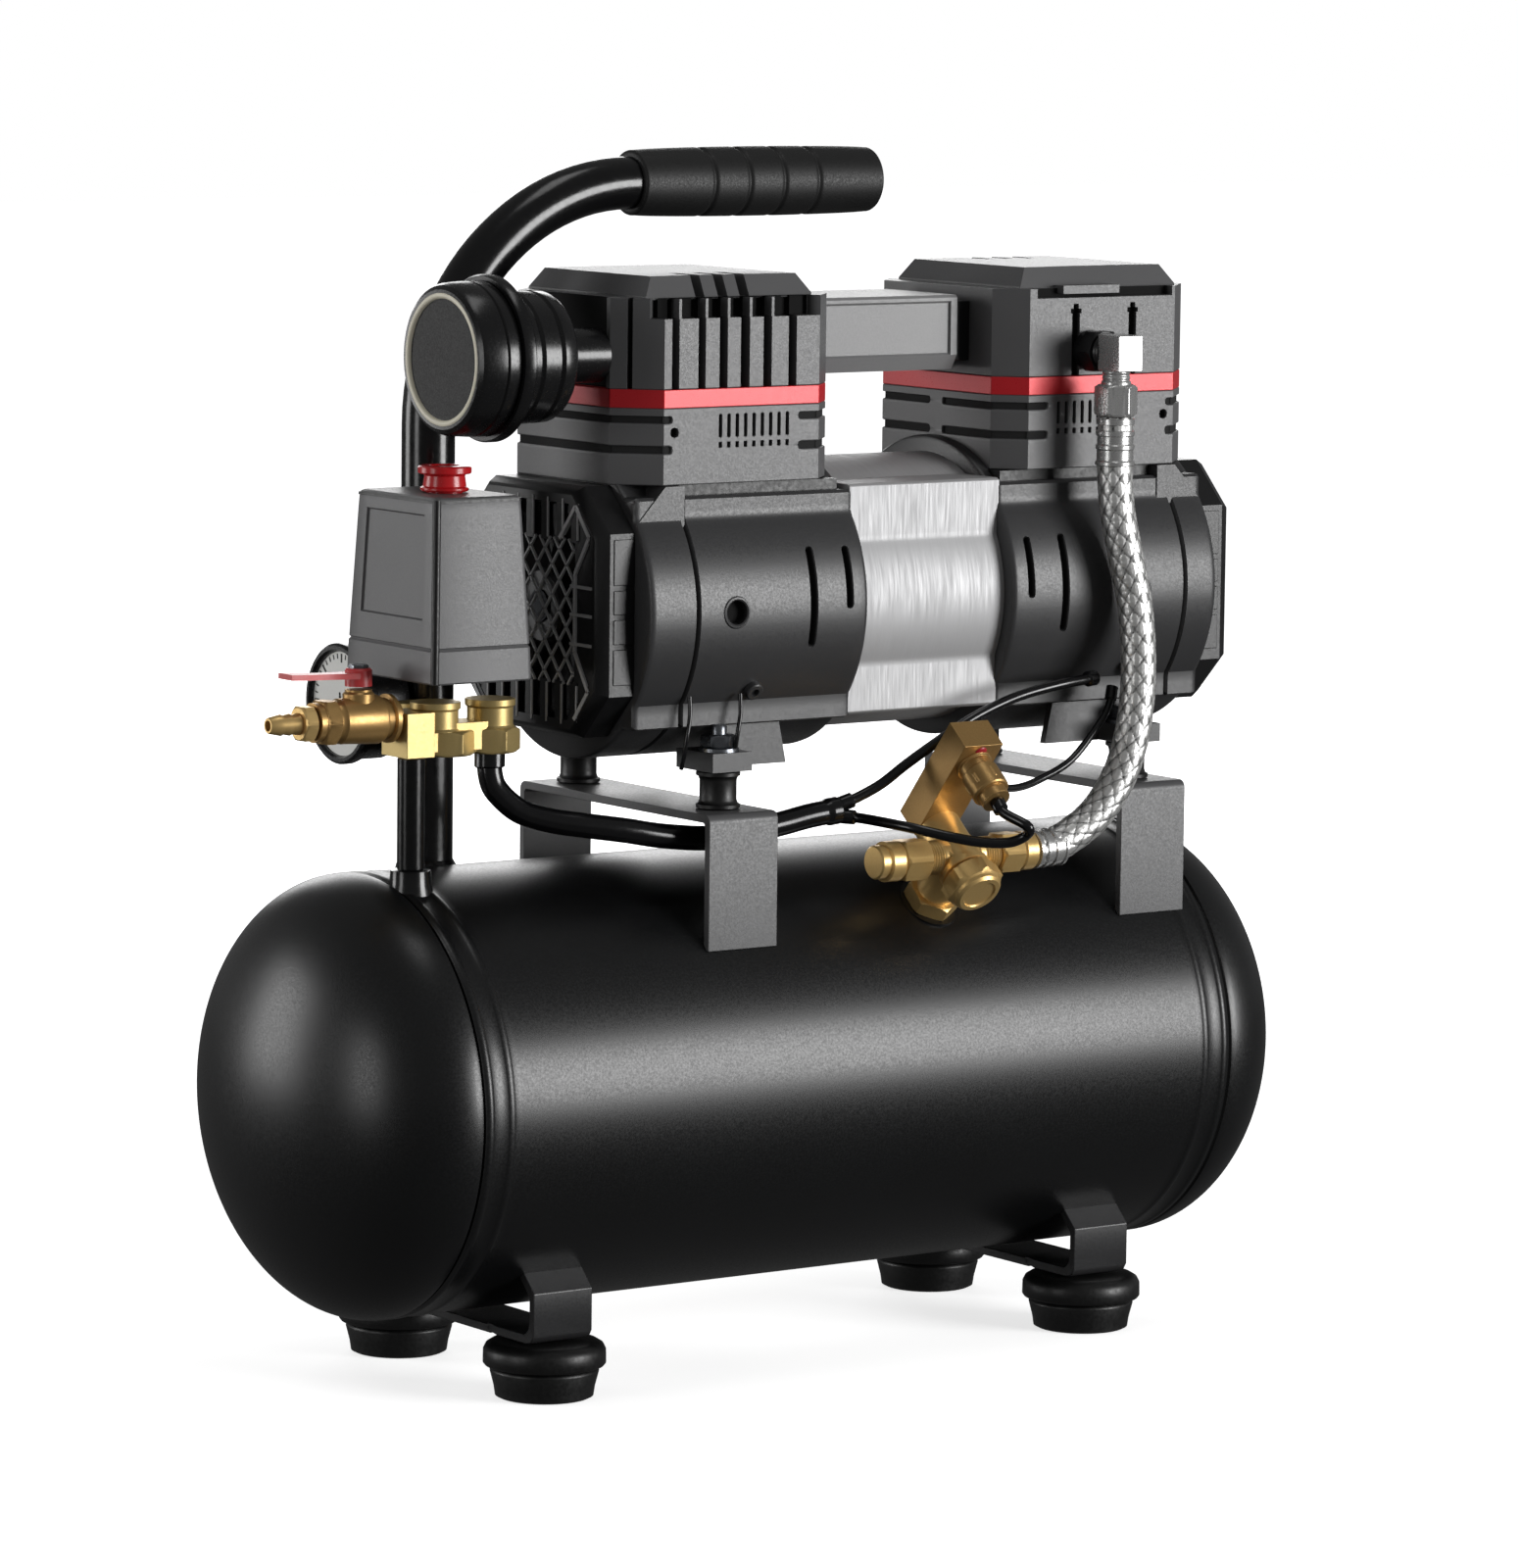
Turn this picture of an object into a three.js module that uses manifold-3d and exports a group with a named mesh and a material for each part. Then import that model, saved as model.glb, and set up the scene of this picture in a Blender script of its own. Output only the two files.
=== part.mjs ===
// Twin-head oil-free air compressor on a horizontal tank: every separate piece as one closed solid.
// Millimetres, +Z up. X runs along the tank, -Y is the front. Places are measured from the point on
// the floor under the middle of the tank, and the whole model is centred on its footprint at the end.
import * as THREE from 'three';
import { mergeVertices } from 'three/addons/utils/BufferGeometryUtils.js';
import Module from 'manifold-3d';

const wasm = await Module();
wasm.setup();

// Driving dimensions
const GAP = 0.3; // air left between neighbouring pieces
const TANK_SIDES = 48;
const TANK = { r: 80, wall: 2.5, z: 105.1, half: 165.4, dome: 49 };
const STRAP = { xs: [-119.5, 121.5], width: 25, y: 60, thick: 3, bottom: 20.6, top: 24.8, bend: 39.6 };
const FOOT = { y: 48.3, rTop: 22, rFloor: 18.6, h: 20.3 };
const BRACKET = { xs: [-44.5, 141.5], width: 30, y: 60, thick: 3, top: 205.5 };
const MOUNT = { y: 45, r: 8, h: 13.4 };
const HANDLE = { x: -127, y: 20, r: 9.6, bend: 85, z: 427, gripEnd: 65.6, gripR: 12.75 };
const PUMP = { x: 46.5, z: 277 }; // middle of the motor, and the height of its shaft
const BAND = { half: 32.5, r: 50, flatY: 44, bottom: 236, top: 320 };
const CASE = { outer: 128, r: 56, wall: 3.5, flatY: 45, bottom: 235, top: 322 };
const BLOCK = { inner: 37.5, outer: 129.1, y: 43.7, chamfer: 14, z0: 322.3, z1: 349.7 };
const PLATE = { z0: 350, z1: 356 };
const HEAD = { z0: 356.3, z1: 389, cap: 396 };
const CYLINDER_X = 83.3; // cylinder centre, measured from the middle of the motor
const BORE_R = 31.6;
const PISTON_R = 25;
const THROW = 6; // eccentric offset: the stroke is 12 mm
const ROD_LENGTH = 64;
const SHAFT_R = 6;
const COVER = { inner: 128.3, outer: 143.5, half: 45, wall: 2.5 };
const CROSS = { half: 22.6, z0: 358.5, z1: 386, bore: 8 };
const SILENCER = { y: -21.5, z: 368, face: -148.4, flange: -131.9, rear: -105, neck: -82.9 };
const SWITCH = { x: -148, y: -20.5, z0: 256.6, z1: 321.5 };
const MANIFOLD = { x0: -166, x1: -115, y: -20, half: 8.5, z0: 228, z1: 247.6 };
const COLLAR_XS = [-149, -126];
const VALVE = { x1: -166.3, x0: -200, tip: -218, y: -20, z: 242.5, leverX: -181 };
const GAUGE = { x0: -158, x1: -138, y: 31.5, z: 242, r: 21.75 };
const CHECK = { x: 46, tilt: 40, reach: 24 }; // angle from upright and distance from the tank's wall
const SAFETY = { x: -142.2, y: 6, top: 236.7 };
const ELBOW = { x: 121.7, y: -62, z: 366 };

const MATERIALS = {
  tank: { color: 0x101011, roughness: 0.28, metalness: 0.1 },
  steel: { color: 0x4a4a4b, roughness: 0.45, metalness: 0.2 },
  rubber: { color: 0x121212, roughness: 0.85, metalness: 0 },
  black: { color: 0x1b1b1c, roughness: 0.5, metalness: 0 },
  grey: { color: 0x565758, roughness: 0.5, metalness: 0 },
  silver: { color: 0xd0d2d3, roughness: 0.3, metalness: 0.9 },
  red: { color: 0xc81e28, roughness: 0.4, metalness: 0 },
  brass: { color: 0xc9993c, roughness: 0.3, metalness: 0.9 },
  chrome: { color: 0xd8dadc, roughness: 0.15, metalness: 1 },
  white: { color: 0xf1f1ee, roughness: 0.5, metalness: 0 },
};

const model = new THREE.Group();

// Closed triangles of a geometry as a solid, turned right side out if the profile ran the other way.
function solid(geometry) {
  geometry.deleteAttribute('normal');
  geometry.deleteAttribute('uv');
  const merged = mergeVertices(geometry, 1e-4);
  const index = merged.index.array;
  const faces = [];
  for (let i = 0; i < index.length; i += 3) {
    const [a, b, c] = [index[i], index[i + 1], index[i + 2]];
    if (a !== b && b !== c && c !== a) faces.push(a, b, c);
  }
  const points = merged.attributes.position.array;
  if (volume(points, faces) < 0) faces.reverse();
  return new wasm.Manifold(new wasm.Mesh({
    numProp: 3,
    vertProperties: Float32Array.from(points),
    triVerts: Uint32Array.from(faces),
  }));
}

function volume(points, faces) {
  const [a, b, c] = [new THREE.Vector3(), new THREE.Vector3(), new THREE.Vector3()];
  let sum = 0;
  for (let i = 0; i < faces.length; i += 3) {
    a.fromArray(points, faces[i] * 3);
    b.fromArray(points, faces[i + 1] * 3);
    c.fromArray(points, faces[i + 2] * 3);
    sum += a.dot(b.cross(c)) / 6;
  }
  return sum;
}

// Puts a finished solid into the model as a named mesh with its own material.
function piece(name, shape, finish) {
  const mesh = shape.getMesh();
  const geometry = new THREE.BufferGeometry();
  geometry.setAttribute('position', new THREE.BufferAttribute(mesh.vertProperties, 3));
  geometry.setIndex(new THREE.BufferAttribute(mesh.triVerts, 1));
  geometry.computeVertexNormals();
  const node = new THREE.Mesh(geometry, new THREE.MeshStandardMaterial(MATERIALS[finish]));
  node.name = name;
  model.add(node);
}

// Block between two corners.
function box(x0, x1, y0, y1, z0, z1) {
  const geometry = new THREE.BoxGeometry(x1 - x0, y1 - y0, z1 - z0);
  geometry.translate((x0 + x1) / 2, (y0 + y1) / 2, (z0 + z1) / 2);
  return solid(geometry);
}

const AXES = {
  x: new THREE.Vector3(1, 0, 0),
  y: new THREE.Vector3(0, 1, 0),
  z: new THREE.Vector3(0, 0, 1),
};

// Turns a solid drawn about +Z so that it stands on a base point along a direction.
function stand(geometry, base, direction) {
  const turn = new THREE.Quaternion().setFromUnitVectors(AXES.z, direction.clone().normalize());
  geometry.applyQuaternion(turn);
  geometry.translate(base.x, base.y, base.z);
  return solid(geometry);
}

// Turned piece: outline [radius, height] pairs from axis to axis, revolved about a direction.
function turned(outline, base, direction, sides = 20) {
  const points = outline.map(([r, h]) => new THREE.Vector2(r, h));
  const geometry = new THREE.LatheGeometry(points, sides);
  geometry.rotateX(Math.PI / 2);
  return stand(geometry, base, direction);
}

function rod(base, direction, r, length, sides = 20) {
  return turned([[0, 0], [r, 0], [r, length], [0, length]], base, direction, sides);
}

function at(x, y, z) {
  return new THREE.Vector3(x, y, z);
}

// Flat outline extruded along X, centred on x. The outline is given as [y, z] pairs.
function slabAlongX(outline, x, width) {
  const shape = new THREE.Shape(outline.map(([y, z]) => new THREE.Vector2(y, z)));
  const geometry = new THREE.ExtrudeGeometry(shape, { depth: width, bevelEnabled: false });
  const frame = new THREE.Matrix4().makeBasis(AXES.y, AXES.z, AXES.x);
  geometry.applyMatrix4(frame);
  geometry.translate(x - width / 2, 0, 0);
  return solid(geometry);
}

// Flat outline extruded upwards. The outline is given as [x, y] pairs.
function slabUp(outline, z0, z1) {
  const shape = new THREE.Shape(outline.map(([x, y]) => new THREE.Vector2(x, y)));
  const geometry = new THREE.ExtrudeGeometry(shape, { depth: z1 - z0, bevelEnabled: false });
  geometry.translate(0, 0, z0);
  return solid(geometry);
}

// Round bar carried along a smooth route of [x, y, z] points.
function tube(route, r, sides, steps) {
  const curve = new THREE.CatmullRomCurve3(route.map((p) => at(...p)), false, 'centripetal');
  const section = new THREE.Shape();
  section.absarc(0, 0, r, 0, 2 * Math.PI, false);
  const geometry = new THREE.ExtrudeGeometry(section, {
    steps, extrudePath: curve, bevelEnabled: false, curveSegments: sides / 2,
  });
  return solid(geometry);
}

function tankCylinder(r) {
  return rod(at(-TANK.half, 0, TANK.z), AXES.x, r, 2 * TANK.half, TANK_SIDES);
}

// Direction at a given angle from upright, leaning to the front for a positive angle.
function radial(degrees) {
  const angle = THREE.MathUtils.degToRad(degrees);
  return at(0, -Math.sin(angle), Math.cos(angle));
}

function onTank(x, degrees, out = 0) {
  return radial(degrees).multiplyScalar(TANK.r + out).add(at(x, 0, TANK.z));
}

// Welded tank: a rolled shell with threaded bosses for the check valve, riser and drain.
const checkAxis = radial(CHECK.tilt);
const checkDown = radial(CHECK.tilt + 90);
const BOSS_R = 12;
const DRAIN = { x: 0, tilt: 217.5, bossR: 10, neck: 5 };
const drainAxis = radial(DRAIN.tilt);
const RISER = { x: -159, y: -20, r: 5 };
{
  const bosses = rod(onTank(CHECK.x, CHECK.tilt, -4), checkAxis, BOSS_R, 9)
    .add(rod(onTank(DRAIN.x, DRAIN.tilt, -4), drainAxis, DRAIN.bossR, 7));
  const holes = rod(onTank(CHECK.x, CHECK.tilt, -12), checkAxis, 8 + GAP, 24)
    .add(rod(onTank(DRAIN.x, DRAIN.tilt, -12), drainAxis, DRAIN.neck + GAP, 24))
    .add(rod(at(RISER.x, RISER.y, TANK.z + 60), AXES.z, RISER.r + GAP, 40));
  const inside = rod(at(-TANK.half - 1, 0, TANK.z), AXES.x, TANK.r - TANK.wall, 2 * TANK.half + 2, TANK_SIDES);
  piece('tank_shell', tankCylinder(TANK.r).add(bosses).subtract(inside).subtract(holes), 'tank');
}

// Dished ends: half ellipses in section, with a bead at the weld.
function dishedEnd(side) {
  const outline = [];
  const steps = 7;
  for (let i = 0; i <= steps; i += 1) {
    const a = (i / steps) * (Math.PI / 2);
    outline.push([TANK.r * Math.cos(a), TANK.dome * Math.sin(a)]);
  }
  for (let i = steps; i >= 0; i -= 1) {
    const a = (i / steps) * (Math.PI / 2);
    outline.push([(TANK.r - TANK.wall) * Math.cos(a), (TANK.dome - TANK.wall) * Math.sin(a)]);
  }
  outline.push(outline[0]);
  return turned(outline, at(side * (TANK.half + GAP), 0, TANK.z), at(side, 0, 0), TANK_SIDES);
}
piece('tank_end_left', dishedEnd(-1), 'tank');
piece('tank_end_right', dishedEnd(1), 'tank');

// Foot straps: bent strip welded under the tank, its ends turned up and leant in on the tank's side.
function footStrap(x) {
  const { y, thick, bottom, top, bend } = STRAP;
  const lean = 9;
  const rise = 9;
  const outline = [
    [-y - 1.5, bottom], [y + 1.5, bottom], [y + 1.5, bend], [y - lean, bend + rise],
    [y - lean - thick, bend + rise - 2], [y - 1.5, bend - 1.5], [y - 1.5, top], [-y + 1.5, top],
    [-y + 1.5, bend - 1.5], [-y + lean + thick, bend + rise - 2], [-y + lean, bend + rise], [-y - 1.5, bend],
  ];
  return slabAlongX(outline, x, STRAP.width).subtract(tankCylinder(TANK.r + GAP));
}
const SIDES = { left: 0, right: 1 };
for (const [side, index] of Object.entries(SIDES)) {
  piece(`foot_strap_${side}`, footStrap(STRAP.xs[index]), 'steel');
}

// Rubber feet: a ring at the top, tapering to the floor.
const FOOT_OUTLINE = [
  [0, 0], [FOOT.rFloor, 0], [FOOT.rFloor + 0.9, 7], [FOOT.rTop, 8.5], [FOOT.rTop, 18], [FOOT.rTop - 1.5, FOOT.h],
  [0, FOOT.h],
];
for (const [side, index] of Object.entries(SIDES)) {
  for (const [row, sign] of [['front', -1], ['rear', 1]]) {
    const base = at(STRAP.xs[index], sign * FOOT.y, 0);
    piece(`foot_${row}_${side}`, turned(FOOT_OUTLINE, base, AXES.z), 'rubber');
  }
}

// Pump brackets: inverted U of flat bar, its legs shaped to the tank.
function pumpBracket(x) {
  const { y, thick, top } = BRACKET;
  const outer = y + thick / 2;
  const inner = y - thick / 2;
  const outline = [
    [-outer, 150], [-outer, top], [outer, top], [outer, 150], [inner, 150], [inner, top - thick],
    [-inner, top - thick], [-inner, 150],
  ];
  return slabAlongX(outline, x, BRACKET.width).subtract(tankCylinder(TANK.r + GAP));
}
for (const [side, index] of Object.entries(SIDES)) {
  piece(`pump_bracket_${side}`, pumpBracket(BRACKET.xs[index]), 'steel');
  for (const [row, sign] of [['front', -1], ['rear', 1]]) {
    const base = at(BRACKET.xs[index], sign * MOUNT.y, BRACKET.top + GAP);
    piece(`isolator_${row}_${side}`, rod(base, AXES.z, MOUNT.r, MOUNT.h, 20), 'rubber');
  }
}

// Carrying handle: one bent tube welded on the tank, with a foam grip over its free end.
{
  const { x, y, r, bend, z, gripEnd } = HANDLE;
  const foot = TANK.z + Math.sqrt((TANK.r + GAP) ** 2 - (Math.abs(y) - r) ** 2) + GAP;
  const arc = [];
  for (let i = 0; i <= 14; i += 1) {
    const a = (i / 14) * (Math.PI / 2);
    arc.push([x + bend * (1 - Math.cos(a)), y, z - bend * (1 - Math.sin(a))]);
  }
  const upright = rod(at(x, y, foot - 12), AXES.z, r, arc[0][2] - foot + 12, 20);
  const reach = rod(at(x + bend, y, z), AXES.x, r, gripEnd - 6 - x - bend, 20);
  const elbow = tube(arc, r, 20, 12);
  const whole = upright.add(elbow).add(reach);
  piece('handle_tube', whole.subtract(tankCylinder(TANK.r + GAP)), 'black');
  const grip = [
    [0, 0], [HANDLE.gripR - 1.2, 0], [HANDLE.gripR - 1.2, -2], [HANDLE.gripR, -4], [HANDLE.gripR, -100],
    [HANDLE.gripR - 1, -106.8], [r + GAP, -106.8], [r + GAP, -5.7], [0, -5.7],
  ];
  piece('handle_grip', turned(grip, at(gripEnd, y, z), AXES.x), 'rubber');
}

// Motor: aluminium band with the stator inside it, and one rotor shaft that carries both eccentrics.
{
  const { half, r, flatY, bottom, top } = BAND;
  const { x, z } = PUMP;
  const body = rod(at(x - half, 0, z), AXES.x, r, 2 * half, 48)
    .add(box(x - half, x + half, -flatY, flatY, bottom, top));
  const hole = rod(at(x - half - 1, 0, z), AXES.x, 31, 2 * half + 2, 32);
  piece('motor_stator', body.subtract(hole), 'silver');

  const tip = COVER.outer - 4.5;
  const outline = [
    [0, -tip], [SHAFT_R, -tip], [SHAFT_R, -28], [30, -28], [30, 28], [SHAFT_R, 28], [SHAFT_R, tip], [0, tip],
  ];
  const shaft = turned(outline, at(x, 0, z), AXES.x, 24);
  const left = rod(at(x - CYLINDER_X - 6, 0, z + THROW), AXES.x, 13, 12);
  const right = rod(at(x + CYLINDER_X - 6, 0, z - THROW), AXES.x, 13, 12);
  piece('rotor_shaft', shaft.add(left).add(right), 'silver');
}

// Outline of a cylinder block, valve plate or head: a rectangle with its four corners cut.
function cornered(side, shrink = 0) {
  const { inner, outer, y, chamfer } = BLOCK;
  const near = PUMP.x + side * (inner + shrink);
  const far = PUMP.x + side * (outer - shrink);
  const cut = side * chamfer;
  const w = y - shrink;
  const inside = chamfer - 4;
  return [
    [near + side * inside, -w], [far - cut, -w], [far, -w + chamfer], [far, w - chamfer],
    [far - cut, w], [near + side * inside, w], [near, w - inside], [near, -w + inside],
  ];
}

// One side of the pump: crankcase, cylinder block, valve plate, head, piston, fan and fan cover.
function pumpSide(name, side) {
  const { x, z } = PUMP;
  const dir = at(side, 0, 0);
  const along = (d) => x + side * d;
  const span = (d0, d1, y0, y1, z0, z1) => {
    const [a, b] = [along(d0), along(d1)].sort((p, q) => p - q);
    return box(a, b, y0, y1, z0, z1);
  };
  const bracketX = BRACKET.xs[SIDES[name]];
  const cylX = along(CYLINDER_X);
  const start = BAND.half + GAP;

  const feetTop = CASE.bottom + 4;
  const feetBottom = BRACKET.top + MOUNT.h + 2 * GAP;
  const reach = MOUNT.y + 9;
  const outside = rod(at(along(start), 0, z), dir, CASE.r, CASE.outer - start, 48)
    .add(span(start, CASE.outer - 22, -CASE.flatY, CASE.flatY, CASE.bottom, CASE.top))
    .add(box(bracketX - 11, bracketX + 11, -reach, -MOUNT.y + 14, feetBottom, feetTop))
    .add(box(bracketX - 11, bracketX + 11, MOUNT.y - 14, reach, feetBottom, feetTop));
  const bulkhead = start + 7;
  const cavity = rod(at(along(bulkhead), 0, z), dir, CASE.r - CASE.wall, CASE.outer - bulkhead + 1, 40)
    .add(rod(at(along(start - 1), 0, z), dir, SHAFT_R + 1, 12, 24))
    .add(rod(at(cylX, 0, z), AXES.z, BORE_R + 1.5, 60, 32));
  const above = span(start - 1, CASE.outer + 1, -CASE.r, CASE.r, CASE.top, CASE.top + 20);
  piece(`crankcase_${name}`, outside.subtract(cavity).subtract(above), 'black');

  const bore = rod(at(cylX, 0, BLOCK.z0 - 5), AXES.z, BORE_R, 100, 32);
  piece(`cylinder_${name}`, slabUp(cornered(side), BLOCK.z0, BLOCK.z1).subtract(bore), 'grey');

  const ports = rod(at(cylX - 12, 0, PLATE.z0 - 1), AXES.z, 4, 10, 16)
    .add(rod(at(cylX + 12, 0, PLATE.z0 - 1), AXES.z, 4, 10, 16));
  piece(`valve_plate_${name}`, slabUp(cornered(side), PLATE.z0, PLATE.z1).subtract(ports), 'red');

  const capLow = 34;
  const capOutline = [[-38, HEAD.z1 - 1], [38, HEAD.z1 - 1], [capLow, HEAD.cap], [-capLow, HEAD.cap]];
  const head = slabUp(cornered(side), HEAD.z0, HEAD.z1).add(slabAlongX(capOutline, cylX, 72))
    .subtract(box(cylX - 24, cylX + 24, -24, 24, HEAD.z0 - 1, HEAD.z0 + 18))
    .subtract(rod(at(along(BLOCK.inner - 1), 0, 370), dir, CROSS.bore, 24, 20));
  piece(`head_${name}`, head, 'grey');

  const pinZ = z - side * THROW;
  const low = ROD_LENGTH - 4;
  const big = rod(at(cylX - 5, 0, pinZ), AXES.x, 19, 10, 32);
  const web = box(cylX - 4, cylX + 4, -6, 6, pinZ + 16, pinZ + low + 1);
  const crown = rod(at(cylX, 0, pinZ + low), AXES.z, PISTON_R, 6, 32);
  const pin = rod(at(cylX - 10, 0, pinZ), AXES.x, 13 + GAP, 20, 24);
  piece(`piston_${name}`, big.add(web).add(crown).subtract(pin), 'silver');

  const fanX = COVER.inner + 1;
  let fan = rod(at(along(fanX), 0, z), dir, 14, 9, 24);
  for (let i = 0; i < 6; i += 1) {
    const blade = new THREE.BoxGeometry(6, 3, 26);
    blade.rotateZ(side * 0.6);
    blade.translate(along(fanX + 4.5), 0, 24);
    blade.rotateX((i / 6) * 2 * Math.PI);
    blade.translate(0, 0, z);
    fan = fan.add(solid(blade));
  }
  const hub = rod(at(along(fanX - 1), 0, z), dir, SHAFT_R + GAP, 12, 24);
  piece(`fan_${name}`, fan.subtract(hub), 'black');

  const { half, wall } = COVER;
  const octagon = (w, cut) => [
    [-w + cut, z - w], [w - cut, z - w], [w, z - w + cut], [w, z + w - cut],
    [w - cut, z + w], [-w + cut, z + w], [-w, z + w - cut], [-w, z - w + cut],
  ];
  const deep = COVER.outer - COVER.inner;
  const mid = along((COVER.outer + COVER.inner) / 2);
  let cover = slabAlongX(octagon(half, 16), mid, deep)
    .subtract(slabAlongX(octagon(half - wall, 15), mid - side * wall, deep));
  for (let i = -3; i <= 3; i += 1) {
    const tall = 38 - 3 * Math.abs(i);
    cover = cover.subtract(span(COVER.outer - 5, COVER.outer + 5, i * 11 - 3, i * 11 + 3, z - tall, z + tall));
  }
  piece(`fan_cover_${name}`, cover, 'black');
}
pumpSide('left', -1);
pumpSide('right', 1);

// Air passage between the two heads, and the intake silencer on the left head.
{
  const near = BLOCK.inner - GAP;
  const { half, z0, z1, bore } = CROSS;
  const body = box(PUMP.x - near, PUMP.x + near, -half, half, z0, z1);
  piece('crossover', body.subtract(rod(at(PUMP.x - near - 1, 0, 370), AXES.x, bore, 2 * near + 2, 20)), 'grey');
}
{
  const { y, z, face, flange, rear, neck } = SILENCER;
  const axis = at(face, y, z);
  const cap = [
    [0, 2], [23, 2], [24, 0], [27, 0], [27.5, 8], [27.5, flange - face - GAP], [22, flange - face - GAP],
    [22, 6], [0, 6],
  ];
  piece('silencer_cap', turned(cap, axis, AXES.x, 32), 'black');
  const body = [
    [20, 0], [29.6, 0], [29.6, 5], [23.5, 7], [23.5, rear - flange - 2], [21, rear - flange],
    [10, rear - flange], [10, neck - flange], [5, neck - flange], [5, rear - flange - 4],
    [20, rear - flange - 4], [20, 0],
  ];
  piece('silencer_body', turned(body, at(flange, y, z), AXES.x, 32), 'black');
}

// Delivery side: elbow on the right head, braided hose, check valve and unloader.
{
  const { x, y, z } = ELBOW;
  const port = rod(at(x, -BLOCK.y - GAP, z), at(0, -1, 0), 6.5, 12, 20);
  const corner = box(x - 6, x + 6, y - 6.5, y + 6.5, z - 6.5, z + 6.5);
  const down = rod(at(x - 1.5, y, 345), AXES.z, 5, 18, 20);
  const nut = rod(at(x - 1.5, y, 342.3), AXES.z, 8.2, 12, 6);
  piece('outlet_elbow', port.add(corner).add(down).add(nut), 'chrome');
}
const HOSE_ROUTE = [
  [120.2, -62, 342], [120.2, -62, 334], [120.2, -62, 324], [121, -63, 308], [124, -65, 290], [127, -67, 272],
  [127.5, -69, 250], [125, -70, 229], [119, -70, 211], [109, -69, 197], [97, -67.5, 188.5],
  [88, -66.8, 185.2], [81, -66.8, 184.8],
];
piece('braided_hose', tube(HOSE_ROUTE, 6.8, 12, 26), 'chrome');

const centre = onTank(CHECK.x, CHECK.tilt, CHECK.reach);
// A point of the check valve: right along X, forward and down along the wall, out from the wall.
function fromCheck(right, down, out) {
  return centre.clone().add(at(right, 0, 0)).addScaledVector(checkDown, down).addScaledVector(checkAxis, out);
}
{
  const stub = rod(fromCheck(0, 0, -29), checkAxis, 8, 29 + 6);
  const barrel = rod(fromCheck(0, -14, 0), checkDown, 8.5, 23);
  const leftArm = rod(fromCheck(-14, 0, 0), AXES.x, 6.5, 14);
  const rightArm = rod(fromCheck(0, 0, 0), AXES.x, 6.5, 18);
  const leftNut = rod(fromCheck(-37, 0, 0), AXES.x, 8.2, 23.5, 6);
  const rightNut = rod(fromCheck(17, 0, 0), AXES.x, 8, 17, 6);
  const bore = rod(fromCheck(0, 0, -30), checkAxis, 4.6, 26, 16);
  const body = stub.add(barrel).add(leftArm).add(rightArm).add(leftNut).add(rightNut).subtract(bore);
  piece('check_valve_body', body, 'brass');
  piece('check_valve_cap', rod(fromCheck(0, 9.3, 0), checkDown, 11.4, 10.5, 6), 'brass');
  piece('check_valve_poppet', rod(fromCheck(0, 0, -14), checkAxis, 4.2, 7, 16), 'brass');
}
{
  const width = 17.4;
  const depth = 12.7;
  const length = 47;
  const block = new THREE.BoxGeometry(width, depth, length);
  const tilt = THREE.MathUtils.degToRad(CHECK.tilt);
  block.rotateX(tilt);
  const middle = fromCheck(0, -14.3 - depth / 2, 19.5);
  block.translate(middle.x, middle.y, middle.z);
  const port = rod(fromCheck(0, -15, 33), checkDown, 7, 19);
  piece('unloader_block', solid(block).add(port), 'brass');
}

// Wiring conduit from the switch side, the motor cable and the two thin air tubes that leave it.
const CONDUIT_ROUTE = [
  [-126, -20, 227.6], [-126, -20.5, 220], [-124, -22, 214], [-117, -26, 207], [-107, -31, 203.5], [-95, -37, 201.5],
  [-82, -41, 199.5], [-65, -43.5, 196.5], [-44, -45, 195], [-20, -46, 198], [-6, -47, 200.5], [6, -48, 202],
];
piece('wiring_conduit', tube(CONDUIT_ROUTE, 4.5, 8, 24), 'black');
const CABLE_ROUTE = [
  [7.4, -48.5, 204.2], [14, -50, 206.5], [23, -52, 211], [32, -55, 218], [43, -59, 226], [55, -61, 233],
  [68, -61, 238], [82, -60, 241.5], [98, -59.5, 244], [109, -58.5, 245], [116, -57.5, 245.5],
];
piece('motor_cable', tube(CABLE_ROUTE, 1.9, 8, 26), 'black');
const portEnd = fromCheck(0, 4.5, 33).toArray();
const portLead = fromCheck(0, 10, 33).toArray();
const UNLOADER_ROUTE = [
  [7.4, -49, 199.8], [12, -54, 199.4], [15, -66, 198.8], [20, -77, 197.5], [29, -86, 195], [39, -92, 193],
  [48, -97, 193], [52, -101.5, 196], [50, -104.5, 199.5], portLead, portEnd,
];
piece('unloader_tube', tube(UNLOADER_ROUTE, 1.9, 8, 28), 'black');
const PILOT_ROUTE = [
  [125, -56.8, 241.5], [122, -58.5, 235], [116, -60, 228], [102, -62, 216], [86, -64, 210], [75, -66, 208],
  [66, -67.5, 208.5], [60, -68.5, 209.6], [55.5, -69, 210.5],
];
piece('pilot_tube', tube(PILOT_ROUTE, 1.4, 8, 22), 'black');

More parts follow.
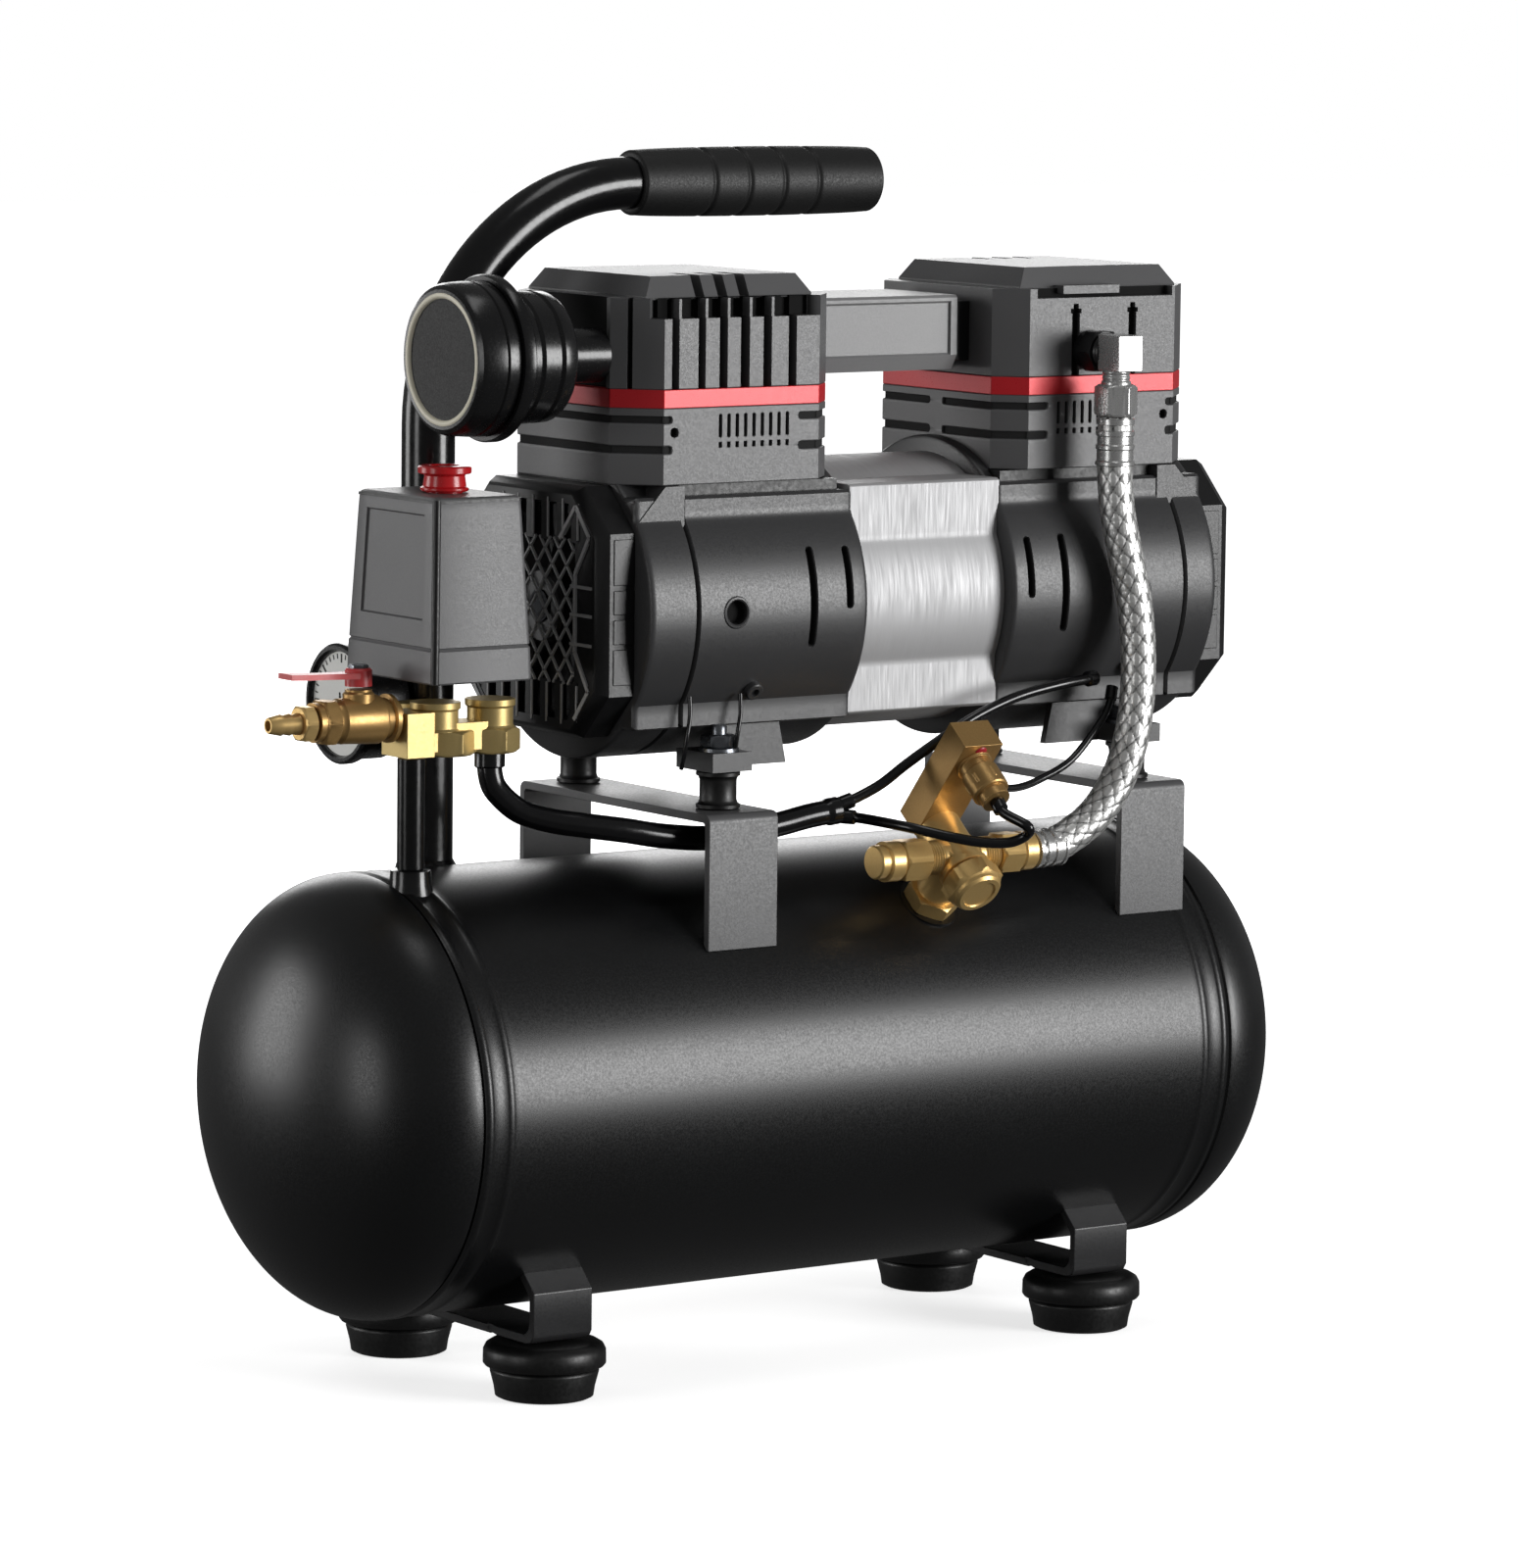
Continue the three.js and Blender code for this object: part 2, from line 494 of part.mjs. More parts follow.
// Pressure switch: base with two collars below and the contact block on it, tapered cover, and the
// red on-off knob that lifts and drops.
function tapered(w0, d0, w1, d1, z0, z1) {
  const geometry = new THREE.BoxGeometry(1, 1, z1 - z0);
  const points = geometry.attributes.position;
  for (let i = 0; i < points.count; i += 1) {
    const top = points.getZ(i) > 0;
    points.setX(i, SWITCH.x + Math.sign(points.getX(i)) * (top ? w1 : w0) / 2);
    points.setY(i, SWITCH.y + Math.sign(points.getY(i)) * (top ? d1 : d0) / 2);
    points.setZ(i, top ? z1 : z0);
  }
  return solid(geometry);
}
const KNOB = { x: -146, r: 7.5, pin: 3 };
{
  const { z0, z1, x, y } = SWITCH;
  const seam = z0 + 12;
  let base = tapered(41.5, 58.5, 40.7, 57.6, z0, seam);
  for (const cx of COLLAR_XS) {
    base = base.add(rod(at(cx, MANIFOLD.y, MANIFOLD.z1 + GAP), AXES.z, 9.2, z0 - MANIFOLD.z1 + 2));
  }
  base = base.add(box(x - 14, x + 14, y - 20, y + 20, seam - 1, seam + 22));
  piece('switch_base', base, 'black');
  const pinHole = rod(at(KNOB.x, y, z1 - 30), AXES.z, KNOB.pin + GAP, 40, 20);
  const hollow = tapered(34, 50, 30, 46, seam, z1 - 3);
  const cover = tapered(40.7, 57.6, 36, 51.6, seam + GAP, z1);
  piece('switch_cover', cover.subtract(hollow).subtract(pinHole), 'grey');
  const knob = [
    [0, -26], [KNOB.pin, -26], [KNOB.pin, 0], [KNOB.r, 0], [KNOB.r, 6], [KNOB.r + 2, 6.8], [KNOB.r + 2, 9],
    [0, 9],
  ];
  piece('switch_knob', turned(knob, at(KNOB.x, y, z1 + GAP), AXES.z), 'red');
}

// Brass manifold under the switch, with the riser from the tank, outlet valve, barb and gauge.
{
  const { x0, x1, y, half, z0, z1 } = MANIFOLD;
  let body = box(x0, x1, y - half, y + half, z0, z0 + 12).add(box(x0, x0 + 8, y - half, y + half, z0, z1));
  for (const cx of COLLAR_XS) body = body.add(rod(at(cx, y, z0 + 6), AXES.z, 10, z1 - z0 - 6));
  const arm = box(-152, -138, y, GAUGE.y - GAUGE.r - GAP, z0 + 9, z1);
  const way = rod(at(RISER.x, y, z0 - 1), AXES.z, 3, 8, 16);
  piece('manifold', body.add(arm).subtract(way), 'brass');
  const foot = TANK.z + TANK.r - 8;
  const outline = [[3, 0], [RISER.r, 0], [RISER.r, z0 - GAP - foot], [3, z0 - GAP - foot], [3, 0]];
  piece('riser_pipe', turned(outline, at(RISER.x, RISER.y, foot), AXES.z), 'black');
}
{
  const { x0, x1, y, z, tip, leverX } = VALVE;
  const stemHole = rod(at(leverX, y, z), AXES.z, 2.5 + GAP, 30, 16);
  const body = rod(at(x0, y, z), AXES.x, 7, x1 - x0)
    .add(rod(at(x0 + 22, y, z), AXES.x, 8.8, 5, 24))
    .add(rod(at(leverX, y, z), AXES.z, 5.5, 11, 6))
    .subtract(stemHole)
    .subtract(rod(at(x0 - 1, y, z), AXES.x, 3, x1 - x0 + 2, 16))
    .subtract(rod(at(leverX, y, z - 5.5), AXES.z, 5.3, 11, 20));
  piece('outlet_valve', body, 'brass');
  const ball = new THREE.SphereGeometry(4.9, 16, 10);
  ball.translate(leverX, y, z);
  const lever = rod(at(leverX, y, z), AXES.z, 2.5, 18.5, 16).add(solid(ball))
    .add(rod(at(leverX, y, z + 15), AXES.z, 5, 3, 20))
    .add(box(leverX - 31, leverX + 2, y - 3.8, y + 3.8, z + 15, z + 17))
    .subtract(rod(at(leverX - 8, y, z), AXES.x, 2.5, 16, 16));
  piece('valve_lever', lever, 'red');
  const nose = tip - x0 + GAP;
  const barb = [
    [2, 0], [7, 0], [7, -4], [4, -5], [4, -9], [3.2, -9.5], [4, -13.5], [3.2, -14], [3, nose], [2, nose], [2, 0],
  ];
  piece('hose_barb', turned(barb, at(x0 - GAP, y, z), AXES.x), 'brass');
}
{
  const { x0, x1, y, z, r } = GAUGE;
  const deep = x1 - x0;
  const outline = [[0, 4], [r - 1.6, 4], [r - 1.6, 0], [r, 0], [r, deep - 4], [r - 5, deep], [4, deep], [4, deep + 0.2],
    [0, deep + 0.2]];
  const pivot = rod(at(x0 + 2, y, z), AXES.x, 1 + GAP, 5, 16);
  piece('gauge_case', turned(outline, at(x0, y, z), AXES.x, 40).subtract(pivot), 'black');
  const pointer = box(x0 + 1.6, x0 + 2.6, y - 0.8, y + 0.8, z - 15, z + 4)
    .add(rod(at(x0 + 1.6, y, z), AXES.x, 2.2, 1, 20))
    .add(rod(at(x0 + 1.6, y, z), AXES.x, 1, 4, 16));
  piece('gauge_needle', pointer, 'black');
}

// Safety valve hanging from the manifold's arm, with its pull ring, and the drain cock low on the tank's rear side.
{
  const { x, y, top } = SAFETY;
  const down = at(0, 0, -1);
  const body = [[0, 0], [4.5, 0], [4.5, 16], [3.6, 17], [3.6, 26], [2, 26], [2, 12], [0, 12]];
  piece('safety_valve', turned(body, at(x, y, top), down, 16), 'brass');
  const ring = new THREE.Shape();
  ring.absarc(0, 0, 7, 0, 2 * Math.PI, false);
  const eye = new THREE.Path();
  eye.absarc(0, 0, 5.4, 0, 2 * Math.PI, true);
  ring.holes.push(eye);
  const loop = new THREE.ExtrudeGeometry(ring, { depth: 1.6, bevelEnabled: false, curveSegments: 10 });
  loop.rotateY(Math.PI / 2);
  loop.translate(x - 0.8, y, top - 39);
  const stem = rod(at(x, y, top - 14), down, 1.6, 19, 12);
  piece('safety_ring', stem.add(solid(loop)), 'chrome');
}
{
  const inward = drainAxis.clone().negate();
  const neck = DRAIN.neck;
  const body = [[0, 6], [neck, 6], [neck, -3.4], [7, -3.4], [7, -9], [2.3, -9], [2.3, 4], [0, 4]];
  piece('drain_valve', turned(body, onTank(DRAIN.x, DRAIN.tilt, 0), inward), 'brass');
  const stem = rod(onTank(DRAIN.x, DRAIN.tilt, 2), drainAxis, 2, 14, 16);
  const bar = rod(onTank(DRAIN.x - 10, DRAIN.tilt, 13.2), AXES.x, 3.7, 20);
  piece('drain_knob', stem.add(bar), 'brass');
}

// The frame's origin is the middle of the footprint, on the floor.
const bounds = new THREE.Box3().setFromObject(model);
const footprint = bounds.getCenter(new THREE.Vector3());
model.position.set(-footprint.x, -footprint.y, -bounds.min.z);

export default model;
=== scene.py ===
"""Twin-head oil-free air compressor: the visible surfaces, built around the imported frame."""
import math
import bmesh
import bpy
import numpy as np
from mathutils import Matrix, Vector


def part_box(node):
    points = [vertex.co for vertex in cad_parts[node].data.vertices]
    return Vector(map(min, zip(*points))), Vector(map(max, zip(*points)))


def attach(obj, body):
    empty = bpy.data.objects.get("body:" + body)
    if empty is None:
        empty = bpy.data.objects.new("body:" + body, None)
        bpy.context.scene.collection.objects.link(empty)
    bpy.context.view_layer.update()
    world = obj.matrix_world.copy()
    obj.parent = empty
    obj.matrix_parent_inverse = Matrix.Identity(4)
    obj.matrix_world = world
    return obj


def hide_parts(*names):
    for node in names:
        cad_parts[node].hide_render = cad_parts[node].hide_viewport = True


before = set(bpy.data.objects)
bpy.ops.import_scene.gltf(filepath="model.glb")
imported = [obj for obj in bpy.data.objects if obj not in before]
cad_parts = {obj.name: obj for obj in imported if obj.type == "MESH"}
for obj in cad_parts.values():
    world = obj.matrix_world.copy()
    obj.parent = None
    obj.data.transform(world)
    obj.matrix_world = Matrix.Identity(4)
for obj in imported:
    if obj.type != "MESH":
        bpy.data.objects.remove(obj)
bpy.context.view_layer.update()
scene = bpy.context.scene

# ---------------------------------------------------------------------------------------------
# Studio and camera: a long lens from the front left, a pale seamless floor, and large soft boxes.
# The floor and the sky are white to the eye and dark to a mirror, as black flags make them.
tank_low, tank_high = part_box("tank_end_left")[0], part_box("tank_end_right")[1]
ORIGIN = np.array([(tank_low.x + tank_high.x) / 2, (tank_low.y + tank_high.y) / 2, 0.0])

camera = bpy.data.objects.new("camera", bpy.data.cameras.new("camera"))
scene.collection.objects.link(camera)
camera.data.sensor_width = 36.0
camera.data.lens = 165.76
camera.data.clip_end = 60
camera_side, camera_down, camera_roll = math.radians(35.256), math.radians(6.908), math.radians(0.643)
look = Vector((math.sin(camera_side) * math.cos(camera_down), math.cos(camera_side) * math.cos(camera_down),
               -math.sin(camera_down)))
level = look.cross(Vector((0, 0, 1))).normalized()
upright = level.cross(look)
right = math.cos(camera_roll) * level + math.sin(camera_roll) * upright
up = math.cos(camera_roll) * upright - math.sin(camera_roll) * level
camera_at = Vector((-1.5168, -2.15327, 0.52602)) + Vector(ORIGIN)
camera.matrix_world = Matrix.Translation(camera_at) @ Matrix((right, up, -look)).transposed().to_4x4()
scene.camera = camera


def srgb(code):
    """Linear RGBA of an sRGB hex colour such as '#8090a0'."""
    parts = [int(code[i:i + 2], 16) / 255 for i in (1, 3, 5)]
    return [c / 12.92 if c <= 0.04045 else ((c + 0.055) / 1.055) ** 2.4 for c in parts] + [1.0]


def add(tree, kind, inputs=None, **settings):
    """One node with its settings; each input is a value, or a socket that is linked to it."""
    node = tree.nodes.new(kind)
    for key, value in settings.items():
        setattr(node, key, value)
    for key, value in (inputs or {}).items():
        if isinstance(value, bpy.types.NodeSocket):
            tree.links.new(value, node.inputs[key])
        else:
            node.inputs[key].default_value = value
    return node


# White paper: matt, with a little glow so that it stays white in its own soft shadows.
paper = bpy.data.materials.new("white_paper")
paper.use_nodes = True
tree = paper.node_tree
tree.nodes.clear()
speck = add(tree, "ShaderNodeTexNoise", {"Scale": 40.0, "Detail": 2.0})
tint = add(tree, "ShaderNodeMix", {0: speck.outputs[0], 6: srgb("#fbfbfb"), 7: srgb("#ffffff")},
           data_type="RGBA")
spot = add(tree, "ShaderNodeTexCoord").outputs["Object"]
away = add(tree, "ShaderNodeVectorMath", {0: spot}, operation="LENGTH").outputs["Value"]
glow = add(tree, "ShaderNodeMapRange", {0: away, 1: 0.25, 2: 1.4, 3: 0.7, 4: 1.0}).outputs[0]
bright = add(tree, "ShaderNodeBsdfPrincipled", {
    "Base Color": tint.outputs[2], "Roughness": 0.95, "Specular IOR Level": 0.0,
    "Emission Color": srgb("#ffffff"), "Emission Strength": glow})
flag = add(tree, "ShaderNodeEmission", {"Color": srgb("#525252"), "Strength": 1.0})
rays = add(tree, "ShaderNodeLightPath")
blend = add(tree, "ShaderNodeMixShader", {0: rays.outputs["Is Camera Ray"], 1: flag.outputs[0],
                                          2: bright.outputs[0]})
add(tree, "ShaderNodeOutputMaterial", {0: blend.outputs[0]})
floor_mesh = bpy.data.meshes.new("floor")
floor_mesh.from_pydata([(-9, -9, 0), (9, -9, 0), (9, 9, 0), (-9, 9, 0)], [], [[0, 1, 2, 3]])
floor_mesh.materials.append(paper)
floor = bpy.data.objects.new("floor", floor_mesh)
scene.collection.objects.link(floor)

world = bpy.data.worlds.new("studio")
world.use_nodes = True
tree = world.node_tree
tree.nodes.clear()
rays = add(tree, "ShaderNodeLightPath")
seen = add(tree, "ShaderNodeBackground", {0: srgb("#ffffff"), 1: 1.0})
ambient = add(tree, "ShaderNodeBackground", {0: srgb("#ffffff"), 1: 0.16})
blend = add(tree, "ShaderNodeMixShader", {0: rays.outputs["Is Camera Ray"], 1: ambient.outputs[0],
                                          2: seen.outputs[0]})
add(tree, "ShaderNodeOutputWorld", {0: blend.outputs[0]})
scene.world = world
scene.view_settings.view_transform = "Standard"

# Name, place and size in metres, and watts of each soft box; all of them face the middle of the object.
for name, place, size, power in (
        ("key_front_right", (1.30, -1.95, 0.46), (1.10, 1.00), 46),
        ("fill_rear_left", (-1.75, 1.55, 0.50), (0.90, 1.20), 17),
        ("front_left_low", (-2.30, -0.20, 0.35), (0.60, 1.10), 8),
        ("rear", (1.20, 2.10, 0.90), (1.50, 0.90), 15),
        ("top", (0.15, -0.10, 2.60), (1.20, 0.60), 5)):
    light = bpy.data.lights.new(name, "AREA")
    light.shape = "RECTANGLE"
    light.size, light.size_y = size
    light.energy = power
    lamp = bpy.data.objects.new(name, light)
    scene.collection.objects.link(lamp)
    lamp.location = place
    lamp.rotation_euler = (Vector((0, 0, 0.22)) - Vector(place)).to_track_quat("-Z", "Y").to_euler()
    lamp.visible_camera = False

# ---------------------------------------------------------------------------------------------
# Tank: a rolled steel shell with two pressed, dished ends, welded round and painted in gloss black.
# A bead stands at each weld, and small collars are welded on where the tubes and the valve enter.


def grid(points, closed=False):
    """Quads between the rows and columns of a grid of points, whose columns may close round."""
    rows, columns = points.shape[:2]
    i, j = np.meshgrid(np.arange(rows - 1), np.arange(columns if closed else columns - 1), indexing="ij")
    k = (j + 1) % columns
    quads = np.stack([i * columns + j, i * columns + k, (i + 1) * columns + k, (i + 1) * columns + j], -1)
    return points.reshape(-1, 3), quads.reshape(-1, 4).tolist()


ALONG_X, UPWARDS = (1, 0, 0), (0, 0, 1)


def turned(profile, at=(0, 0, 0), along=UPWARDS, sides=64):
    """Pairs of distance and radius carried round a line: each ring is so far along it and so far out."""
    profile = np.asarray(profile, float)
    along = np.asarray(along, float) / np.linalg.norm(along)
    across = np.cross(along, (0.0, 1.0, 0.0) if abs(along[1]) < 0.9 else (1.0, 0.0, 0.0))
    across /= np.linalg.norm(across)
    angle = np.arange(sides) * 2 * np.pi / sides
    ring = np.outer(np.cos(angle), across) + np.outer(np.sin(angle), np.cross(along, across))
    return grid(np.asarray(at, float) + profile[:, :1, None] * along + profile[:, 1:, None] * ring,
                closed=True)


def piece(name, shapes, body, material, nodes=(), sharp=32, bevel=0.0):
    """One object from shapes in mm: doubles merge, faces turn outwards, steep edges stay sharp, and a
    bevel, if any, rounds them. It stands for its CAD nodes and rides its body."""
    points = np.concatenate([shape[0] for shape in shapes])
    starts = np.cumsum([0] + [len(shape[0]) for shape in shapes[:-1]])
    faces = [[int(k + start) for k in face] for shape, start in zip(shapes, starts) for face in shape[1]]
    corners = sum(len(face) for face in faces)
    mesh = bpy.data.meshes.new(name)
    mesh.from_pydata((points / 1000 + ORIGIN).tolist(), [], faces)
    marks = [shape[2] if len(shape) > 2 else np.zeros((sum(map(len, shape[1])), 2)) for shape in shapes]
    mesh.uv_layers.new(name="surface").data.foreach_set("uv", np.concatenate(marks).ravel()[:corners * 2])
    shell = bmesh.new()
    shell.from_mesh(mesh)
    bmesh.ops.remove_doubles(shell, verts=shell.verts, dist=2e-6)
    bmesh.ops.recalc_face_normals(shell, faces=shell.faces)
    shell.to_mesh(mesh)
    shell.free()
    mesh.shade_smooth()
    mesh.set_sharp_from_angle(angle=math.radians(sharp))
    mesh.materials.append(material)
    thing = bpy.data.objects.new(name, mesh)
    scene.collection.objects.link(thing)
    if bevel:
        soft = thing.modifiers.new("edges", "BEVEL")
        soft.width = bevel / 1000
        soft.segments = 2
        soft.limit_method = "ANGLE"
        soft.angle_limit = math.radians(sharp)
        soft.harden_normals = True
    if nodes:
        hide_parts(*nodes)
    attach(thing, body)
    return thing


def coated(name, colour, shade, roughness, grain, bump, stretch=(1, 1, 1), metallic=0.0, coat=0.0, ior=1.5):
    """A finish whose colour clouds slowly between two hexes, and whose roughness and height follow a fine
    noise with grains of so many mm, bump mm high. Stretch draws the grain out, as brushing does."""
    material = bpy.data.materials.new(name)
    material.use_nodes = True
    tree = material.node_tree
    tree.nodes.clear()
    place = add(tree, "ShaderNodeTexCoord").outputs["Object"]
    fine = add(tree, "ShaderNodeMapping", {0: place, 3: [1000 / grain * s for s in stretch]})
    fine = add(tree, "ShaderNodeTexNoise", {"Vector": fine.outputs[0], "Scale": 1.0,
                                            "Detail": 3.0}).outputs[0]
    cloud = add(tree, "ShaderNodeTexNoise", {"Vector": place, "Scale": 24.0, "Detail": 3.0}).outputs[0]
    both = add(tree, "ShaderNodeMath", {0: fine, 1: 0.5, 2: cloud}, operation="MULTIPLY_ADD").outputs[0]
    both = add(tree, "ShaderNodeMapRange", {0: both, 1: 0.45, 2: 1.05}).outputs[0]
    tint = add(tree, "ShaderNodeMix", {0: both, 6: srgb(colour), 7: srgb(shade)},
               data_type="RGBA").outputs[2]
    rough = add(tree, "ShaderNodeMapRange", {0: fine, 1: 0.3, 2: 0.7, 3: roughness * 0.82,
                                             4: roughness * 1.18})
    relief = add(tree, "ShaderNodeBump", {"Distance": bump / 1000, "Height": fine, "Strength": 1.0})
    values = {"Base Color": tint, "Roughness": rough.outputs[0], "Metallic": metallic,
              "Normal": relief.outputs[0], "Coat Weight": coat, "Coat Roughness": 0.08}
    if not metallic:
        values["IOR"] = ior
    shader = add(tree, "ShaderNodeBsdfPrincipled", values)
    add(tree, "ShaderNodeOutputMaterial", {0: shader.outputs[0]})
    return material


# Gloss enamel on steel: nearly black, with the faint grain of sprayed paint, 0.8 mm across.
tank_enamel = coated("gloss_black_enamel", "#0a0a0b", "#0e0f10", 0.34, 0.8, 0.0004)
TANK_Z = (tank_low.z + tank_high.z) / 2 * 1000
TANK_R = (tank_high.z - tank_low.z) / 2 * 1000
TANK_HALF = 165.4
DOME = (tank_high.x - tank_low.x) / 2 * 1000 - TANK_HALF

wave = np.linspace(0, 1, 9)
bead = np.stack([wave * 3.4, 0.75 * np.sin(np.pi * wave)], 1)
line = [(-TANK_HALF + 0.2, 0), (-TANK_HALF + 0.2, TANK_R - 0.5)]
line += [(-TANK_HALF + 0.6 + a, TANK_R - 0.4 + b * 0.7) for a, b in bead]
line += [(-156 + a, TANK_R - 0.4 + b * 0.5) for a, b in bead]
line += [(x, TANK_R - 0.4) for x in np.linspace(-150, 150, 31)]
line += [(-x, r) for x, r in line[::-1]][31:]
line = sorted(line[1:-1])
line = [(line[0][0], 0)] + line + [(line[-1][0], 0)]
piece("tank_shell_skin", [turned(line, (0, 0, TANK_Z), ALONG_X, 144)], "frame", tank_enamel,
      ["tank_shell"], sharp=50)
bulge = np.linspace(0, np.pi / 2, 40)
for side, name in ((-1, "left"), (1, "right")):
    dish = [(0, 0), (0, TANK_R - 1.4), (0.4, TANK_R - 1.3), (1.0, TANK_R - 0.2)]
    dish += list(zip(2.0 + (DOME - 2.0) * np.sin(bulge), TANK_R * np.cos(bulge)))
    piece(f"tank_dish_{name}", [turned(dish, (side * TANK_HALF, 0, TANK_Z), (side, 0, 0), 144)], "frame",
          tank_enamel, [f"tank_end_{name}"], sharp=50)

# ---------------------------------------------------------------------------------------------
# Feet: two bent steel straps under the tank, in semi-gloss black enamel, each on two rubber feet
# moulded as a drum with a waist, each held by a screw that the strap hides.


def skin(rings):
    """Closed rings of equal counts joined row by row, with one face over each end."""
    rings = np.asarray(rings, float)
    points, faces = grid(rings, closed=True)
    rows, columns = rings.shape[:2]
    return points, faces + [list(range(columns)), list(range((rows - 1) * columns, rows * columns))]


def slab(outline, low, high, axis="z"):
    """An outline carried straight along an axis, from low to high."""
    return skin([np.insert(np.asarray(outline, float), "xyz".index(axis), v, axis=1) for v in (low, high)])


def brick(low, high):
    """A rectangular block between any two opposite corners."""
    low, high = np.minimum(low, high), np.maximum(low, high)
    return slab([(low[0], low[1]), (high[0], low[1]), (high[0], high[1]), (low[0], high[1])], low[2],
                high[2])


def box_mm(node):
    """Lowest and highest corner of a CAD node, in mm from the floor under the middle of the tank."""
    low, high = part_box(node)
    return (np.array(low) - ORIGIN) * 1000, (np.array(high) - ORIGIN) * 1000


# Semi-gloss enamel on strap: dark, with a soft sheen and a fine powder grain.
steel_enamel = coated("satin_black_enamel", "#2a2a2b", "#303031", 0.38, 0.9, 0.008)
# Moulded nitrile rubber: black with a dull sheen, pebbled 1.4 mm across.
rubber = coated("moulded_rubber", "#080808", "#101010", 0.42, 1.4, 0.012)
# Zinc-plated steel: bright, slightly blue and faintly clouded.
bolt_steel = coated("zinc_plated_steel", "#8d9095", "#6e7176", 0.3, 0.8, 0.004, metallic=1.0)
for side in ("left", "right"):
    low, high = box_mm(f"foot_strap_{side}")
    parts = []
    for end in (-1, 1):
        limb = np.array([(60 * end, 38.6), (60 * end, 24.3), (58.4 * end, 21.9), (55.4 * end, 20.9),
                         (36 * end, 20.9), (30 * end, 22.0)])
        inner = np.array([(30 * end, 25.0), (36 * end, 24.3), (54.0 * end, 24.3), (56.4 * end, 26.4),
                          (57.0 * end, 29.0), (57.0 * end, 38.0)])
        leaf = [(60 * end, 38.6), (60.0 * end, 39.6), (49.5 * end, 49.8), (47.4 * end, 47.7),
                (57 * end, 38.0)]
        parts.append(slab(np.concatenate([limb, inner]), low[0], high[0], "x"))
        parts.append(slab(leaf, low[0], high[0], "x"))
    parts.append(brick((low[0], -32, 21.0), (high[0], 32, 24.2)))
    piece(f"foot_strap_bent_{side}", parts, "frame", steel_enamel, [f"foot_strap_{side}"],
          sharp=40, bevel=0.5)
    for end in ("front", "rear"):
        low, high = box_mm(f"foot_{end}_{side}")
        middle = (low + high) / 2
        top, drum = high[2], (high[0] - low[0]) / 2
        shape = [(0, 0), (0, drum - 5.6), (0.6, drum - 4.4), (4, drum - 3.9), (9.4, drum - 2.5),
                 (10.2, drum - 2.6), (10.8, drum - 3.4), (11.6, drum - 0.6), (12.4, drum),
                 (top - 3.2, drum - 0.1), (top - 1.4, drum - 1.0), (top - 0.3, drum - 2.8),
                 (top, drum - 4.5), (top, 0)]
        piece(f"rubber_foot_{end}_{side}", [turned(shape, (middle[0], middle[1], 0), sides=96)], "frame",
              rubber, [f"foot_{end}_{side}"], sharp=50)

# ---------------------------------------------------------------------------------------------
# Pump brackets: two channels of bent steel strap across the tank, their legs welded to its sides,
# in a satin enamel of mid grey.
bracket_enamel = coated("satin_grey_enamel", "#565657", "#4f4f50", 0.42, 0.9, 0.008)
for side in ("left", "right"):
    low, high = box_mm(f"pump_bracket_{side}")
    top, reach = high[2], high[1]
    foot = low[2]
    corner = [(reach - 3 + 3 * np.sin(a), top - 3 + 3 * np.cos(a)) for a in np.linspace(0, np.pi / 2, 6)]
    outer = [(-y, z) for y, z in corner[::-1]] + corner
    outer = [(-reach, foot)] + outer + [(reach, foot)]
    inner = [(reach - 3, foot), (reach - 3, top - 4)]
    inner += [(reach - 4, top - 3), (4 - reach, top - 3), (3 - reach, top - 4), (3 - reach, foot)]
    piece(f"bracket_channel_{side}", [slab(outer + inner, low[0], high[0], "x")], "frame",
          bracket_enamel, [f"pump_bracket_{side}"], sharp=25, bevel=0.35)

# ---------------------------------------------------------------------------------------------
# Isolators: a rubber drum between two washers under each corner of the pump, with a steel tab from
# the crankcase above it, and a zinc-plated stud and nut through the tab.


def nut(radius, low, high, at, along, cut=0.6):
    """A hexagon bar: at each turn the radius is that of the flat, r cos 30 / cos(angle), held inside a
    circle that shrinks by the cut towards both ends, which rounds off the corners as on a turned nut."""
    height = high - low
    along = np.asarray(along, float) / np.linalg.norm(along)
    across = np.cross(along, (0.0, 1.0, 0.0) if abs(along[1]) < 0.9 else (1.0, 0.0, 0.0))
    across /= np.linalg.norm(across)
    angle = np.arange(72) * np.pi / 36
    flat = radius * math.cos(math.pi / 6) / np.cos((angle + np.pi / 6) % (np.pi / 3) - np.pi / 6)
    run = np.array([0, 0.25 * cut, 0.6 * cut, 1.2 * cut, height - 1.2 * cut, height - 0.6 * cut,
                    height - 0.25 * cut, height])
    near = np.minimum(run, height - run)
    limit = radius - np.clip(1.2 * cut - near, 0, None) * 1.6
    ring = np.minimum(flat[None, :], limit[:, None])
    ring = np.concatenate([np.zeros((1, 72)), ring, np.zeros((1, 72))])
    run = np.concatenate([[0], run, [height]]) + low
    turn = np.outer(np.cos(angle), across) + np.outer(np.sin(angle), np.cross(along, across))
    return grid(np.asarray(at, float) + run[:, None, None] * along + ring[:, :, None] * turn, closed=True)


for side in ("left", "right"):
    for end in ("front", "rear"):
        low, high = box_mm(f"isolator_{end}_{side}")
        middle = (low + high) / 2
        wide, tall = (high[0] - low[0]) / 2, high[2] - low[2]
        at = (middle[0], middle[1], low[2])
        drum = [(0, 0), (0, wide - 0.4), (0.3, wide), (1.5, wide), (1.8, wide - 0.8), (3.2, wide - 1.3),
                (tall - 3.2, wide - 1.3), (tall - 1.8, wide - 0.8), (tall - 1.5, wide), (tall - 0.3, wide),
                (tall, wide - 0.4), (tall, 0)]
        piece(f"isolator_drum_{end}_{side}", [turned(drum, at, sides=72)], "frame", rubber,
              [f"isolator_{end}_{side}"], sharp=50)

